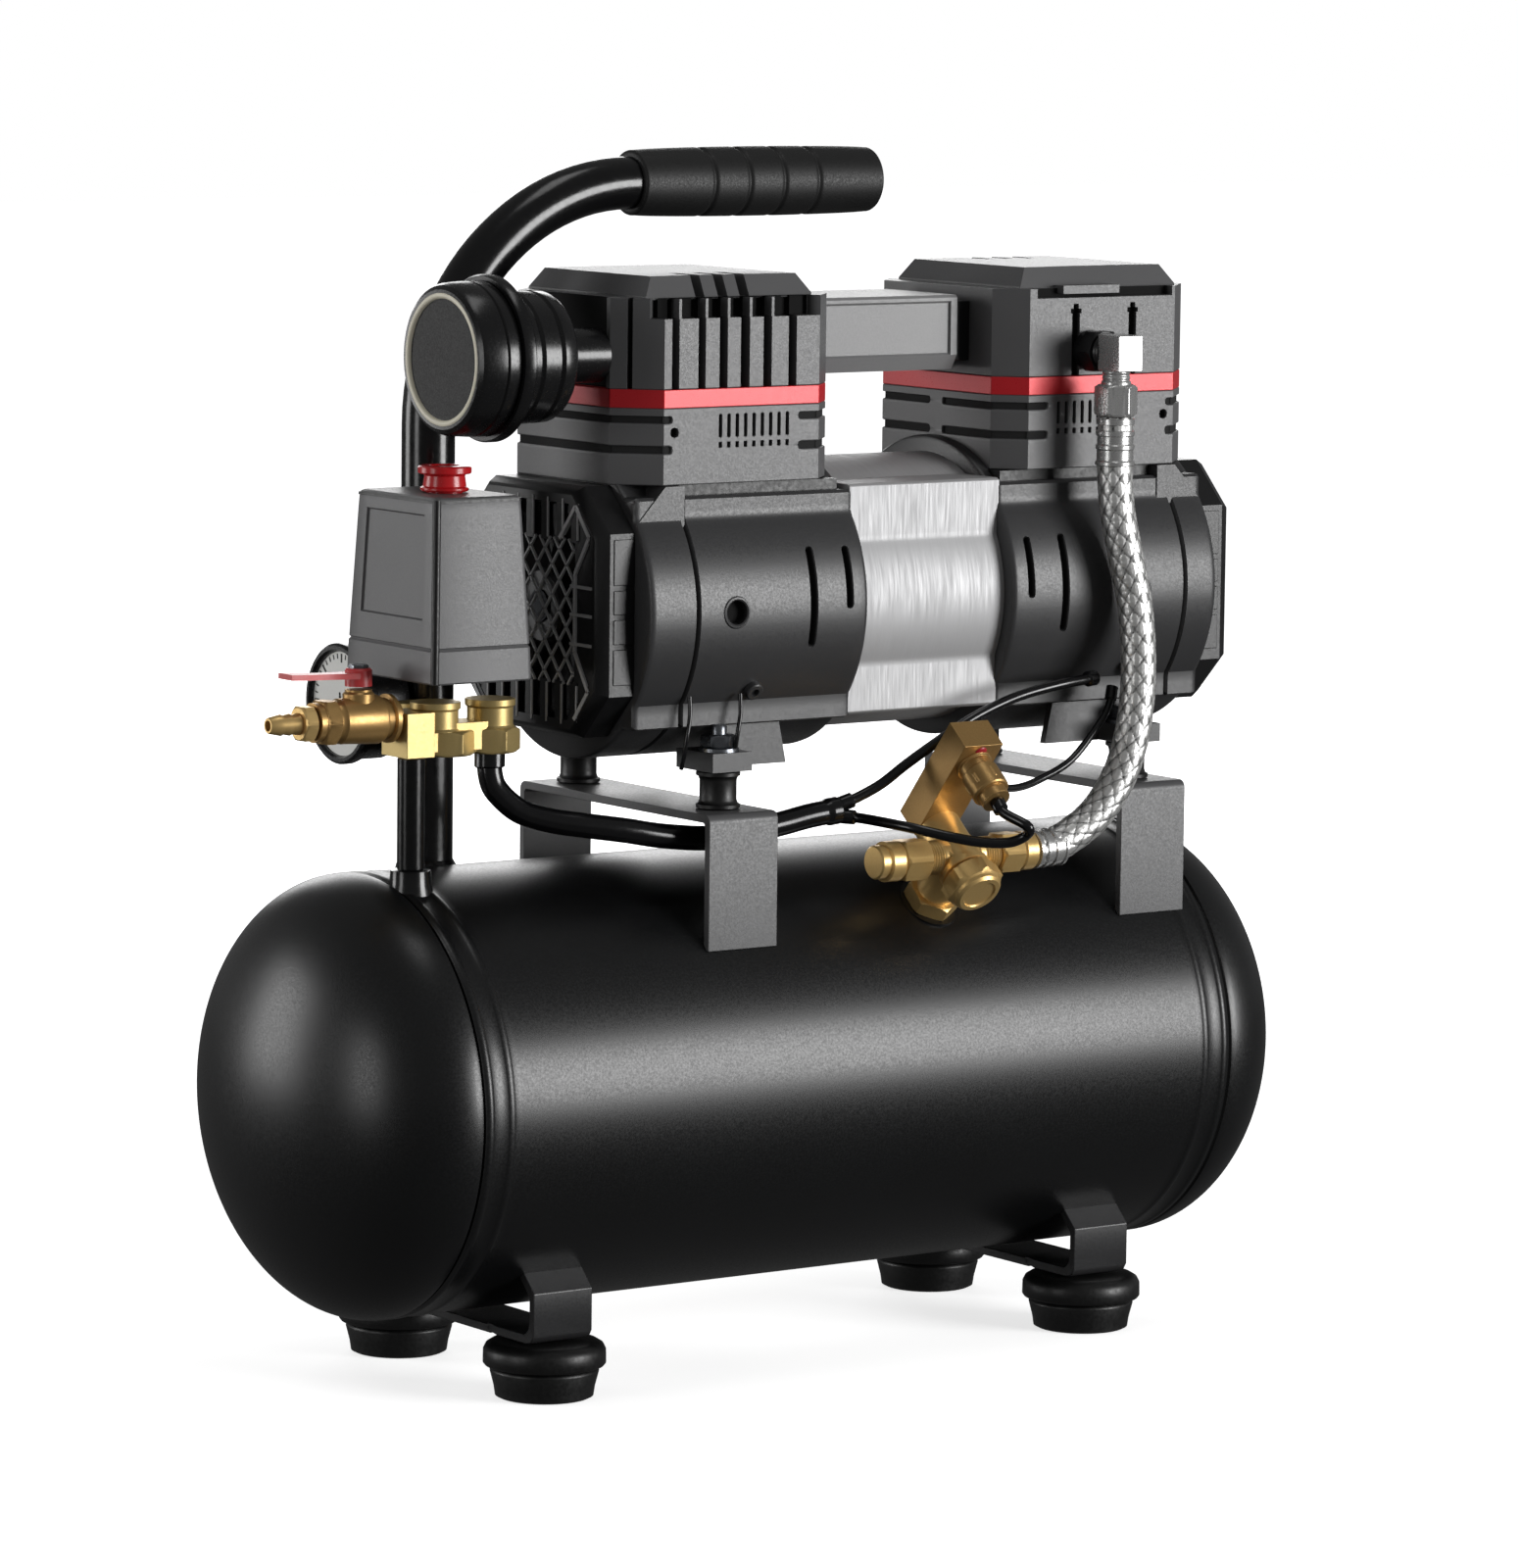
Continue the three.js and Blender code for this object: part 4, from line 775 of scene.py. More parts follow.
for side, name in ((-1, "left"), (1, "right")):
    low, high = box_mm(f"fan_cover_{name}")
    face, back = (low[0], high[0]) if side < 0 else (high[0], low[0])
    half, cut = high[1], 16.0
    octagon = np.array([(-half + cut, -half), (half - cut, -half), (half, -half + cut), (half, half - cut),
                        (half - cut, half), (-half + cut, half), (-half, half - cut), (-half, -half + cut)])
    rings = []
    for x, size in ((back, 1.0), (face - side * 5.0, 1.0), (face - side * 1.2, 0.955),
                    (face - side * 0.4, 0.93), (face - side * 0.4, 0.86), (face - side * 2.2, 0.84),
                    (back, 0.84), (back, 1.0)):
        rings.append(np.insert(octagon * size + (0, PUMP_Z), 0, x, axis=1))
    parts = [grid(np.array(rings), closed=True)]
    highlit_bars = []
    pitch, rise, width, height = 9.3, 11.0, 28.5, 26.0
    for k in np.arange(-10, 11):
        for lean in (1, -1):
            ys = np.array([-width, width])
            zs = lean * (ys - k * pitch) * rise / pitch
            keep = np.clip(zs, -height, height)
            ys = k * pitch + lean * keep * pitch / rise
            if abs(keep[1] - keep[0]) > 2:
                highlit_bars.append(bar((ys[0], PUMP_Z + keep[0]), (ys[1], PUMP_Z + keep[1]), 0.75, 0.9,
                               face - side * 1.5, side))
    for y in np.arange(-3, 4) * 9.6:
        for sign in (1, -1):
            reach = min(half - 3.2, half + 22.8 - abs(y))
            parts.append(bar((y, PUMP_Z + sign * 25), (y, PUMP_Z + sign * reach), 4.6, 2.0,
                             face - side * 2.6, side))
            # A thin pale strip along one edge of each bar: a painted highlight.
            highlit_bars.append(bar((y - 2.3, PUMP_Z + sign * 26), (y - 2.3, PUMP_Z + sign * (reach - 1.5)), 0.7, 0.6,
                           face - side * 0.7, side))
    for y in (-34.0, 34.0):
        parts.append(bar((y, PUMP_Z - 31), (y, PUMP_Z + 31), 10.0, 2.0, face - side * 2.8, side))
    rib = [(-19.6, 26), (-29.7, 38), (-38.5, 27.5), (-29.7, 14), (-29.7, -14), (-38.5, -27.5), (-29.7, -38)]
    for flip in (1, -1):
        for (y0, z0), (y1, z1) in zip(rib[:-1], rib[1:]):
            highlit_bars.append(bar((flip * y0, PUMP_Z + z0), (flip * y1, PUMP_Z + z1), 1.5, 1.6, face - side * 1.6,
                           side))
        for z in (9.5, -0.5, -11.0):
            highlit_bars.append(bar((flip * 27.0, PUMP_Z + z), (flip * 40.5, PUMP_Z + z), 1.1, 1.0,
                           face - side * 0.9, side))
    pads = []
    for flip in (1, -1):
        for z0, z1 in ((10.6, 27), (0.2, 8.8), (-10.4, -1.6), (-25, -12.2)):
            near, out = flip * (half - 1.5), flip * (half + 0.35)
            pads.append(brick((back, near, PUMP_Z + z0), (face - side * 6.5, out, PUMP_Z + z1)))
    piece(f"fan_cover_pads_{name}", pads, "frame", black_plastic, sharp=28, bevel=0.3)
    piece(f"fan_cover_moulded_{name}", parts, "frame", black_plastic, [f"fan_cover_{name}"],
          sharp=28)
    # The pale grey bars are painted highlights.
    piece(f"fan_cover_highlit_mesh_{name}", highlit_bars, "frame", highlight_grey, sharp=28)

# ---------------------------------------------------------------------------------------------
# Fans: a hub and six blades of black nylon on each end of the shaft. Each blade is a section that
# turns from 55 degrees at the hub to 30 at the tip.
for side, name in ((-1, "left"), (1, "right")):
    low, high = box_mm(f"fan_{name}")
    middle, reach, depth = (low[0] + high[0]) / 2, high[2] - PUMP_Z - 0.3, (high[0] - low[0]) / 2
    parts = [turned([(-depth, 0), (-depth, 12.6), (-depth + 1, 13.8), (depth - 1, 13.8), (depth, 12.6),
                     (depth, 0)], (middle, 0, PUMP_Z), ALONG_X, 48)]
    for k in range(6):
        turn = k * np.pi / 3
        rings = []
        for share in np.linspace(0, 1, 9):
            r, pitch_angle = 12.5 + (reach - 12.5) * share, math.radians(55 - 25 * share)
            wide = 5.2 + 2.2 * share
            chord = np.array([(-wide, -0.7), (wide, -0.5), (wide, 0.5), (-wide, 0.7)])
            x = np.clip(chord[:, 0] * math.sin(pitch_angle) + chord[:, 1] * math.cos(pitch_angle), -depth,
                        depth)
            t = chord[:, 0] * math.cos(pitch_angle) - chord[:, 1] * math.sin(pitch_angle)
            rings.append(np.stack([middle + x, r * math.cos(turn) - t * math.sin(turn),
                                   PUMP_Z + r * math.sin(turn) + t * math.cos(turn)], 1))
        parts.append(skin(rings))
    piece(f"fan_bladed_{name}", parts, "rotor", black_plastic, [f"fan_{name}"], sharp=35)

# ---------------------------------------------------------------------------------------------
# Intake silencer: a black moulded canister on a short neck from the left head, ribbed round its
# girth, with a flange and a cap whose plain face has a bright ring round a dark disc.
# Moulded ABS, polished in the mould: black with clear highlights.
silencer_plastic = coated("moulded_black_abs", "#0c0c0d", "#141415", 0.24, 0.9, 0.004)
low, high = box_mm("silencer_body")
cap_low, cap_high = box_mm("silencer_cap")
at = (0, (cap_low[1] + cap_high[1]) / 2, (cap_low[2] + cap_high[2]) / 2)
flange, cap_r = (high[2] - low[2]) / 2, (cap_high[2] - cap_low[2]) / 2
front, rear = low[0], high[0]
canister = [(rear, 0), (rear, 9.8), (-104.6, 9.8), (-104.6, 20.5), (-105.4, 22.2), (-107, 23.2),
            (-111, 23.4), (-112, 22.6), (-113, 23.4), (-119.5, 23.6), (-120.5, 22.9), (-121.5, 23.6),
            (-125.4, 23.9), (-126.2, 26.4), (-127, 28.8), (-127.8, flange), (-130.8, flange),
            (front, flange - 0.6), (front, 0)]
piece("silencer_canister", [turned(canister, at, ALONG_X, 96)], "frame", silencer_plastic,
      ["silencer_body"], sharp=30)
cap = [(cap_high[0], 0), (cap_high[0], cap_r - 0.3), (-133, cap_r), (-137, cap_r - 0.1),
       (-137.6, cap_r - 0.7), (-138.2, cap_r - 0.1), (-145.6, cap_r - 0.6), (-147.4, cap_r - 1.4),
       (cap_low[0], cap_r - 2.9), (cap_low[0] + 0.1, cap_r - 4.6), (cap_low[0] + 1.3, cap_r - 4.9),
       (cap_low[0] + 1.3, 0)]
piece("silencer_cap_moulded", [turned(cap, at, ALONG_X, 96)], "frame", silencer_plastic,
      ["silencer_cap"], sharp=30)
# The disc inside the ring is textured in the mould, so it stays matt.
disc_black = coated("matt_black_face", "#090909", "#0d0d0d", 0.6, 0.6, 0.002)
disc = [(cap_low[0] + 1.5, 0), (cap_low[0] + 1.5, cap_r - 5.4), (cap_low[0] + 1.1, cap_r - 5.4),
        (cap_low[0] + 1.1, 0)]
piece("silencer_face", [turned(disc, at, ALONG_X, 96)], "frame", disc_black, sharp=60)
# Cream ink on the rim of the disc.
cream = coated("cream_printed_ring", "#f2ecd8", "#e4dec8", 0.4, 0.5, 0.001)
x = cap_low[0]
ring = [(x + 1.5, cap_r - 6.2), (x + 0.3, cap_r - 6.0), (x - 0.2, cap_r - 5.4), (x - 0.2, cap_r - 4.4),
        (x + 0.3, cap_r - 3.8), (x + 1.5, cap_r - 3.6), (x + 1.5, cap_r - 6.2)]
piece("silencer_ring", [turned(ring, at, ALONG_X, 96)], "frame", cream, sharp=60)

# ---------------------------------------------------------------------------------------------
# Outlet elbow: a black port screwed into the right head, then a nickel-plated brass elbow whose
# union nut holds the hose's own nipple.
# Nickel plate over machined brass: pale and bright, a little softened by wear.
nickel = coated("bright_nickel_plate", "#cfcfce", "#bdbdbc", 0.28, 0.8, 0.001, metallic=0.75)
low, high = box_mm("outlet_elbow")
elbow_x, elbow_y = low[0] + 8.6, low[1] + 8.2
port_at, forwards = (elbow_x, -44.0, 365.6), (0, -1, 0)
piece("outlet_port", [nut(8.4, 2.0, 9.5, port_at, forwards),
                      turned([(-0.4, 0), (-0.4, 7.4), (2, 7.4), (2, 0)], port_at, forwards),
                      turned([(9.4, 0), (9.4, 6.2), (10.2, 6.6), (11, 6.2), (11.8, 6.6), (12.6, 6.2),
                              (12.6, 0)], port_at, forwards)], "frame", black_plastic,
      sharp=28)
hose_x, hose_y = 120.2, -62.0
joint = [turned([(353.8, 0), (353.8, 5.6), (355.2, 5.6), (355.6, 4.8), (356.6, 5.3), (357.6, 4.8),
                 (358.6, 5.3), (359.4, 4.8), (359.4, 0)], (hose_x, hose_y, 0), sides=48),
         nut(8.15, low[2], 354.2, (hose_x, hose_y, 0), UPWARDS, 0.9)]
piece("outlet_elbow_plated", joint + [brick((elbow_x - 5.6, elbow_y - 6.6, 359.0),
                                            (elbow_x + 5.6, elbow_y + 6.0, high[2] - 0.2))], "frame",
      nickel, ["outlet_elbow"], sharp=28, bevel=0.5)

# ---------------------------------------------------------------------------------------------
# Discharge hose: a steel-braided hose, 13.6 mm across and 182 mm long, crimped at both ends into
# plated ferrules. It is held at both ends, and hangs in one slack curve between them.


hose_route = [(120.2, -62, 342), (120.2, -62, 334), (120.2, -62, 324), (121, -63, 308), (124, -65, 290),
              (127, -67, 272), (127.5, -69, 250), (125, -70, 229), (119, -70, 211), (109, -69, 197),
              (97, -67.5, 188.5), (88, -66.8, 185.2), (81, -66.8, 184.8)]
hose_r = 6.6
line = along_route(hose_route, 40)
far = np.concatenate([[0], np.cumsum(np.linalg.norm(np.diff(line, axis=0), axis=1))])
even = np.linspace(0, far[-1], int(far[-1] / 0.45))
line = np.stack([np.interp(even, far, line[:, k]) for k in range(3)], 1)
sides = 96
angle = np.arange(sides) * 2 * np.pi / sides
plait, turns = 8, 2 * np.pi / 15.0
one = plait * angle + turns * 2 * even[:, None]
two = plait * angle - turns * 2 * even[:, None]
over = 0.5 + 0.5 * np.sin((one + two) / 2) * np.sin((one - two) / 2)
strand = np.maximum(abs(np.cos(one / 2)) ** 0.6 * over, abs(np.cos(two / 2)) ** 0.6 * (1 - over))
# The strand height goes into the surface map, where the braid's material paints highlight on the crowns and
# shade in the gaps.
braid = tube(line, hose_r - 0.45 + 0.75 * strand, sides)
height = np.concatenate([strand[:1], strand, strand[-1:]]).ravel()
height = (height - height.min()) / (height.max() - height.min())
lift = height[np.asarray(braid[1])]
braid = (braid[0], braid[1], np.stack([lift, np.zeros_like(lift)], -1).reshape(-1, 2))

# Stainless wire braid: a painted highlight on the crown of each band of wires, and painted shade in the gaps
# between them.
braid_painted_light = bpy.data.materials.new("stainless_braid_painted_light")
braid_painted_light.use_nodes = True
tree = braid_painted_light.node_tree
tree.nodes.clear()
place = add(tree, "ShaderNodeTexCoord").outputs["Object"]
surface = add(tree, "ShaderNodeUVMap", uv_map="surface").outputs[0]
crown_highlight = add(tree, "ShaderNodeSeparateXYZ", {0: surface}).outputs[0]
# Single wires are 0.3 mm; their glitter is a painted highlight, drawn as noise at 0.9 mm, which still shows
# at this size.
glint = add(tree, "ShaderNodeTexNoise", {"Vector": place, "Scale": 1100.0, "Detail": 1.0}).outputs[0]
mixed = add(tree, "ShaderNodeMath", {0: glint, 1: 0.55, 2: crown_highlight}, operation="MULTIPLY_ADD").outputs[0]
share = add(tree, "ShaderNodeMapRange", {0: mixed, 1: 0.42, 2: 0.95}).outputs[0]
tint = add(tree, "ShaderNodeMix", {0: share, 6: srgb("#2e2e30"), 7: srgb("#e2e2e0")},
           data_type="RGBA").outputs[2]
rough = add(tree, "ShaderNodeMapRange", {0: glint, 3: 0.3, 4: 0.5}).outputs[0]
shader = add(tree, "ShaderNodeBsdfPrincipled", {"Base Color": tint, "Roughness": rough, "Metallic": 0.8})
add(tree, "ShaderNodeOutputMaterial", {0: shader.outputs[0]})
piece("braided_hose_woven", [braid], "frame", braid_painted_light, ["braided_hose"], sharp=75)

ferrule = [(0, 0), (0, 6.4), (0.4, 7.1), (2.4, 7.1), (2.9, 6.2), (4.4, 6.2), (4.9, 7.2), (6.4, 7.2),
           (6.9, 6.7), (9.6, 6.7), (10.1, 7.2), (11.4, 7.2), (11.9, 6.8), (15.6, 6.8), (16.2, 7.3),
           (17.4, 7.3), (17.8, 6.7), (17.8, 0)]
lower = [(d * 0.72, r) for d, r in ferrule]
piece("hose_ferrules", [turned(ferrule, (hose_x, hose_y, 341.9), (0, 0, -1), 64),
                        turned(lower, (80.4, -66.8, 184.8), (1, 0, 0.05), 64)], "frame",
      nickel, sharp=34)

# ---------------------------------------------------------------------------------------------
# Check valve: a turned brass body that leans forwards out of the tank, with a union nut on each side
# for the hose and the blank, a big cap below, and the unloader block, a drilled square bar, above.
# Machined brass, left bright on the fittings and darker on the block and the ball valve.
brass = coated("machined_brass", "#e9c684", "#dcb672", 0.36, 0.7, 0.001, metallic=0.7)
dark_brass = coated("bronzed_brass", "#b9945c", "#a58350", 0.38, 0.7, 0.001, metallic=0.7)
tilt = math.radians(40.0)
OUT = np.array([0, -math.sin(tilt), math.cos(tilt)])
DOWN = np.array([0, -math.cos(tilt), -math.sin(tilt)])
CHECK_AT = np.array([46.0, -66.85, 184.77])


def from_check(right, down, out):
    """A point so far right, down and out from the middle of the check valve."""
    return CHECK_AT + right * np.array([1.0, 0, 0]) + down * DOWN + out * OUT


def threads(low, high, radius, pitch=1.2, deep=0.5):
    """A profile that swings between the thread's crest and its root once for every pitch."""
    run = np.arange(low, high, pitch / 2)
    return [(d, radius - deep * (k % 2)) for k, d in enumerate(run)]


neck = [(-29, 0), (-29, 7.4)] + threads(-28.5, -22, 7.9)
neck += [(-21.5, 7.4), (-8, 7.4), (-7.4, 8.2), (5.4, 8.2), (6, 7.6), (6, 0)]
body = [turned(neck, CHECK_AT, OUT, 64),
        turned([(-16, 0), (-16, 7.8), (-15, 8.5), (6.0, 8.5), (6.6, 9.6), (8.6, 9.6), (9.0, 8.8), (9.2, 0)],
               CHECK_AT, DOWN, 64), nut(10.4, -24.5, -18.5, CHECK_AT, OUT),
        turned([(-15, 0)] + threads(-15, -9, 6.4, 1.1, 0.4) + [(-9, 6.0), (-8, 6.4), (0, 6.4), (0, 0)],
               CHECK_AT, ALONG_X, 48),
        turned([(0, 0), (0, 6.4), (9, 6.4)] + threads(9.5, 17, 6.4, 1.1, 0.4) + [(17, 0)], CHECK_AT,
               ALONG_X, 48), nut(8.2, -26.5, -14.5, CHECK_AT, ALONG_X, 0.9),
        turned([(-37, 0), (-37, 5.6), (-36.4, 6.2), (-33, 6.2), (-32.6, 7.4), (-27.4, 7.4), (-26.4, 6.8),
                (-26.4, 0)], CHECK_AT, ALONG_X, 48), nut(8.0, 17.2, 27.6, CHECK_AT, ALONG_X, 0.9),
        turned([(27.4, 0), (27.4, 6.6), (28.2, 7.2), (33, 7.2), (33.8, 6.6), (33.8, 0)], CHECK_AT, ALONG_X,
               48)]
piece("check_valve_turned", body, "frame", brass, ["check_valve_body"], sharp=30)
piece("check_valve_cap_hex", [nut(11.3, 9.4, 17.4, CHECK_AT, DOWN, 1.2),
                              turned([(17.0, 0), (17.0, 9.2), (18.6, 9.0), (19.6, 8.0), (19.6, 6.4),
                                      (19.0, 6.0), (19.0, 0)], CHECK_AT, DOWN, 64)], "frame",
      brass, ["check_valve_cap"], sharp=30)
weld = [(-31, 0), (-31, 14.5), (-28.5, 13.4), (-26.5, 11.8), (-24.2, 11.6), (-24.2, 0)]
piece("check_valve_boss", [turned(weld, CHECK_AT, OUT, 64)], "frame", tank_enamel, sharp=50)


def leaning(low, high):
    """A block between two corners given right, down and out from the check valve."""
    points, faces = brick(low, high)
    return from_check(points[:, :1], points[:, 1:2], points[:, 2:]), faces


wide, deep = 8.6, 6.2
middle_down = -20.65
parts = [leaning((-wide, middle_down - deep, -3.6), (wide, middle_down + deep, 42.8))]
parts.append(turned([(0, 0), (0, 7.0), (1.2, 7.0), (1.6, 6.2), (4.6, 6.2), (5.2, 7.0), (14.4, 7.0),
                     (15, 6.4), (15, 5.4), (18.8, 5.4), (18.8, 0)], from_check(0, -14.8, 33), DOWN, 48))
parts.append(nut(7.4, 7.0, 13.0, from_check(0, -14.8, 33), DOWN, 0.7))
piece("unloader_block_drilled", parts, "frame", dark_brass, ["unloader_block"], sharp=30, bevel=0.5)
# A drop of sealing lacquer on the adjusting screw.
red_dot = coated("red_sealing_lacquer", "#b3202a", "#9a1a24", 0.35, 0.4, 0.01)
piece("unloader_seal", [turned([(0, 0), (0, 2.6), (0.5, 2.3), (0.7, 0)],
                               from_check(0, middle_down + deep, 39.2), DOWN, 40)], "frame",
      red_dot, sharp=60)

# ---------------------------------------------------------------------------------------------
# Wiring and small tubes: a black sleeve from the switch holds the motor cable and the unloader tube,
# which fan out of it to the motor and to the unloader; a thin pilot tube runs to the motor end.
# Extruded PVC: black with a clear sheen.
cable_jacket = coated("black_pvc_sleeve", "#08080a", "#101011", 0.2, 1.2, 0.003)
conduit = [(-126, -20, 227.6), (-126, -20.5, 220), (-124, -22, 214), (-117, -26, 207), (-107, -31, 203.5),
           (-95, -37, 201.5), (-82, -41, 199.5), (-65, -43.5, 196.5), (-44, -45, 195), (-20, -46, 198),
           (-6, -47, 200.5), (6, -48, 202)]
cable = [(7.4, -48.5, 204.2), (14, -50, 206.5), (23, -52, 211), (32, -55, 218), (43, -59, 226),
         (55, -61, 233), (68, -61, 238), (82, -60, 241.5), (98, -59.5, 244), (109, -58.5, 245),
         (116, -57.5, 245.5)]
unload = [(7.4, -49, 199.8), (12, -54, 199.4), (15, -66, 198.8), (20, -77, 197.5), (29, -86, 195),
          (39, -92, 193), (48, -97, 193), (52, -101.5, 196), (50, -104.5, 199.5),
          tuple(from_check(0, 10, 33)), tuple(from_check(0, 4.5, 33))]
pilot = [(125, -56.8, 241.5), (122, -58.5, 235), (116, -60, 228), (102, -62, 216), (86, -64, 210),
         (75, -66, 208), (66, -67.5, 208.5), (60, -68.5, 209.6), (55.5, -69, 210.5)]
for name, route, radius, ends, flat in (
        ("wiring_conduit", conduit, 4.5, (1.3, 1.12), (0, 1, 0)),
        ("motor_cable", cable, 1.9, (1.5, 1.5), (0, 1, 0)),
        ("unloader_tube", unload, 1.9, (1.4, 1.5), (1, 0.2, 0.3)),
        ("pilot_tube", pilot, 1.4, (1.6, 1.5), (0, 1, 0))):
    line = along_route(route, 12)
    far = np.concatenate([[0], np.cumsum(np.linalg.norm(np.diff(line, axis=0), axis=1))])
    collar = radius * (1 + (ends[0] - 1) * (far < 5) + (ends[1] - 1) * (far[-1] - far < 4))
    collar = np.minimum(collar, radius + 1.0)
    parts = [tube(line, collar, 28, flat)]
    piece(f"{name}_flexible", parts, "frame", cable_jacket, [name], sharp=40)

# Two thin motor leads drop out of the left crankcase behind the isolator's stud.
leads = []
for shift in (0.0, 22.0):
    drop = [(-60 + shift, -49, 247), (-60.5 + shift, -50, 240), (-62 + shift, -50.5, 233),
            (-62.5 + shift, -49.5, 226), (-62 + shift, -47, 221)]
    leads.append(tube(along_route(drop, 8), 0.8, 16))
piece("motor_leads", leads, "frame", cable_jacket, sharp=50)

# ---------------------------------------------------------------------------------------------
# Pressure switch: a tapered cover of moulded ABS over a base of the same, parted by a seam, with a black
# strip up its front corner and round its top edge that is painted shade on those edges, a sunk plain panel
# on its end, and two black collars below.
# Spark-textured ABS: mid grey, a fine grain and hardly any shine.
switch_grey = coated("moulded_grey_abs", "#606061", "#59595a", 0.42, 0.5, 0.008)
low, high = box_mm("switch_base")
cover_low, cover_high = box_mm("switch_cover")
switch_x, switch_y = (cover_low[0] + cover_high[0]) / 2, (cover_low[1] + cover_high[1]) / 2
seam_z, foot_z, top_z = 268.6, 256.6, cover_high[2]


def frame_ring(z, wide, long, radius=2.2, sunk=0.0, steps=5):
    """A rounded rectangle at one height; sunk pushes in the middle of its left end, for the panel."""
    angle = np.linspace(0, np.pi / 2, steps)
    corner = np.stack([np.cos(angle), np.sin(angle)], 1) * radius
    ring = []
    for turn, (a, b) in enumerate(((1, 1), (-1, 1), (-1, -1), (1, -1))):
        c, s = math.cos(turn * math.pi / 2), math.sin(turn * math.pi / 2)
        spun = np.stack([corner[:, 0] * c - corner[:, 1] * s, corner[:, 0] * s + corner[:, 1] * c], 1)
        ring.append(spun + (a * (wide / 2 - radius), b * (long / 2 - radius)))
        if turn == 1:
            edge, inset = -wide / 2, long * 0.36
            ring.append(np.array([(edge, inset), (edge + sunk, inset - 0.5), (edge + sunk, 0.5 - inset),
                                  (edge, -inset)]))
    ring = np.concatenate(ring) + (switch_x, switch_y)
    return np.insert(ring, 2, z, axis=1)


def between(z):
    """Width and length of the cover at a height: both shrink evenly to the top."""
    share = (z - seam_z) / (top_z - seam_z)
    return 40.7 + (36.0 - 40.7) * share, 57.6 + (51.6 - 57.6) * share


rings = [frame_ring(seam_z + 0.5, 39.7, 56.6), frame_ring(seam_z + 0.9, 40.6, 57.5)]
for z, sunk in ((seam_z + 10, 0), (seam_z + 10.6, 0.8), (top_z - 6.6, 0.8), (top_z - 6, 0)):
    rings.append(frame_ring(z, *between(z), sunk=sunk))
rings += [frame_ring(top_z - 1.4, *between(top_z)), frame_ring(top_z - 0.5, 35.2, 50.8),
          frame_ring(top_z, 33.4, 49.0)]
low, high = box_mm("switch_knob")
knob_x, knob_y, foot = (low[0] + high[0]) / 2, (low[1] + high[1]) / 2, high[2] - 9.0
spread = rings[-1][:, :2] - (knob_x, knob_y)
mouth = (knob_x, knob_y) + 6.9 * spread / np.linalg.norm(spread, axis=1, keepdims=True)
rings += [np.insert(mouth, 2, top_z - drop, axis=1) for drop in (0.3, 14.0)]
piece("switch_cover_moulded", [skin(rings)], "frame", switch_grey, ["switch_cover"],
      sharp=26)
base_rings = [frame_ring(foot_z, 40.4, 57.4), frame_ring(foot_z + 0.6, 41.5, 58.4),
              frame_ring(seam_z - 0.5, 40.9, 57.8), frame_ring(seam_z, 40.1, 57.0),
              frame_ring(seam_z + 0.6, 39.6, 56.4)]
piece("switch_base_moulded", [skin(base_rings)], "frame", switch_grey, ["switch_base"],
      sharp=26)
# The front corner line and the top rim, where the black strip of painted shade runs.
cord = [(switch_x - 41.5 / 2 + 1.0, switch_y - 58.4 / 2 + 1.0, foot_z + 0.3),
        (switch_x - 40.7 / 2 + 1.0, switch_y - 57.6 / 2 + 1.0, seam_z),
        (switch_x - 36.0 / 2 + 0.9, switch_y - 51.6 / 2 + 0.9, top_z - 0.8)]
top_shade_frame = [frame_ring(top_z - 1.9, 35.9, 51.5), frame_ring(top_z - 1.9, 36.7, 52.3),
       frame_ring(top_z - 0.9, 36.5, 52.1), frame_ring(top_z - 0.9, 35.5, 51.1),
       frame_ring(top_z - 1.9, 35.9, 51.5)]
# The collars stand on the two bosses of the manifold below.
bosses_x = (-149.0, -126.0)
manifold_y = -20.0
collars = []
for x in bosses_x:
    collars.append(turned([(low[2], 0), (low[2], 8.6), (low[2] + 0.5, 9.1), (foot_z - 0.8, 9.1),
                           (foot_z - 0.3, 9.8), (foot_z + 0.4, 9.8), (foot_z + 0.4, 0)],
                          (x, manifold_y, 0), sides=64))
# A black rubber strip up the front corner and a black frame round the top edge: painted shade along those
# edges.
ridge = np.linspace(cord[1], cord[2], 12)
edge_shading = [tube(np.concatenate([np.linspace(cord[0], cord[1], 4)[:-1], ridge]), 1.5, 20),
        grid(np.array(top_shade_frame), closed=True)]
piece("switch_edge_shade", edge_shading, "frame", rubber, sharp=40)
piece("switch_collars", collars, "frame", silencer_plastic, sharp=30)

# Knob: bright red acetal, pulled up to start and pushed down to stop, flanged at both ends.
knob_red = coated("moulded_red_acetal", "#cc1f24", "#b3181e", 0.24, 0.8, 0.003)
shape = [(-12, 0), (-12, 6.0), (-11.5, 6.4), (0, 6.4), (0, 8.2), (0.5, 8.6), (1.2, 8.6), (1.8, 7.7),
         (5.4, 7.2), (5.9, 7.6), (6.2, 9.2), (6.6, 9.5), (8.4, 9.5), (8.8, 9.1), (9, 8.4), (9, 5.4),
         (8.6, 5.0), (8.6, 0)]
piece("switch_knob_red", [turned(shape, (knob_x, knob_y, foot), sides=80)], "switch_knob",
      knob_red, ["switch_knob"], sharp=32)

# ---------------------------------------------------------------------------------------------
# Manifold and riser: a forged brass bar under the switch with two hexagon bosses, fed by a steel tube
# that rises from the tank.
low, high = box_mm("manifold")
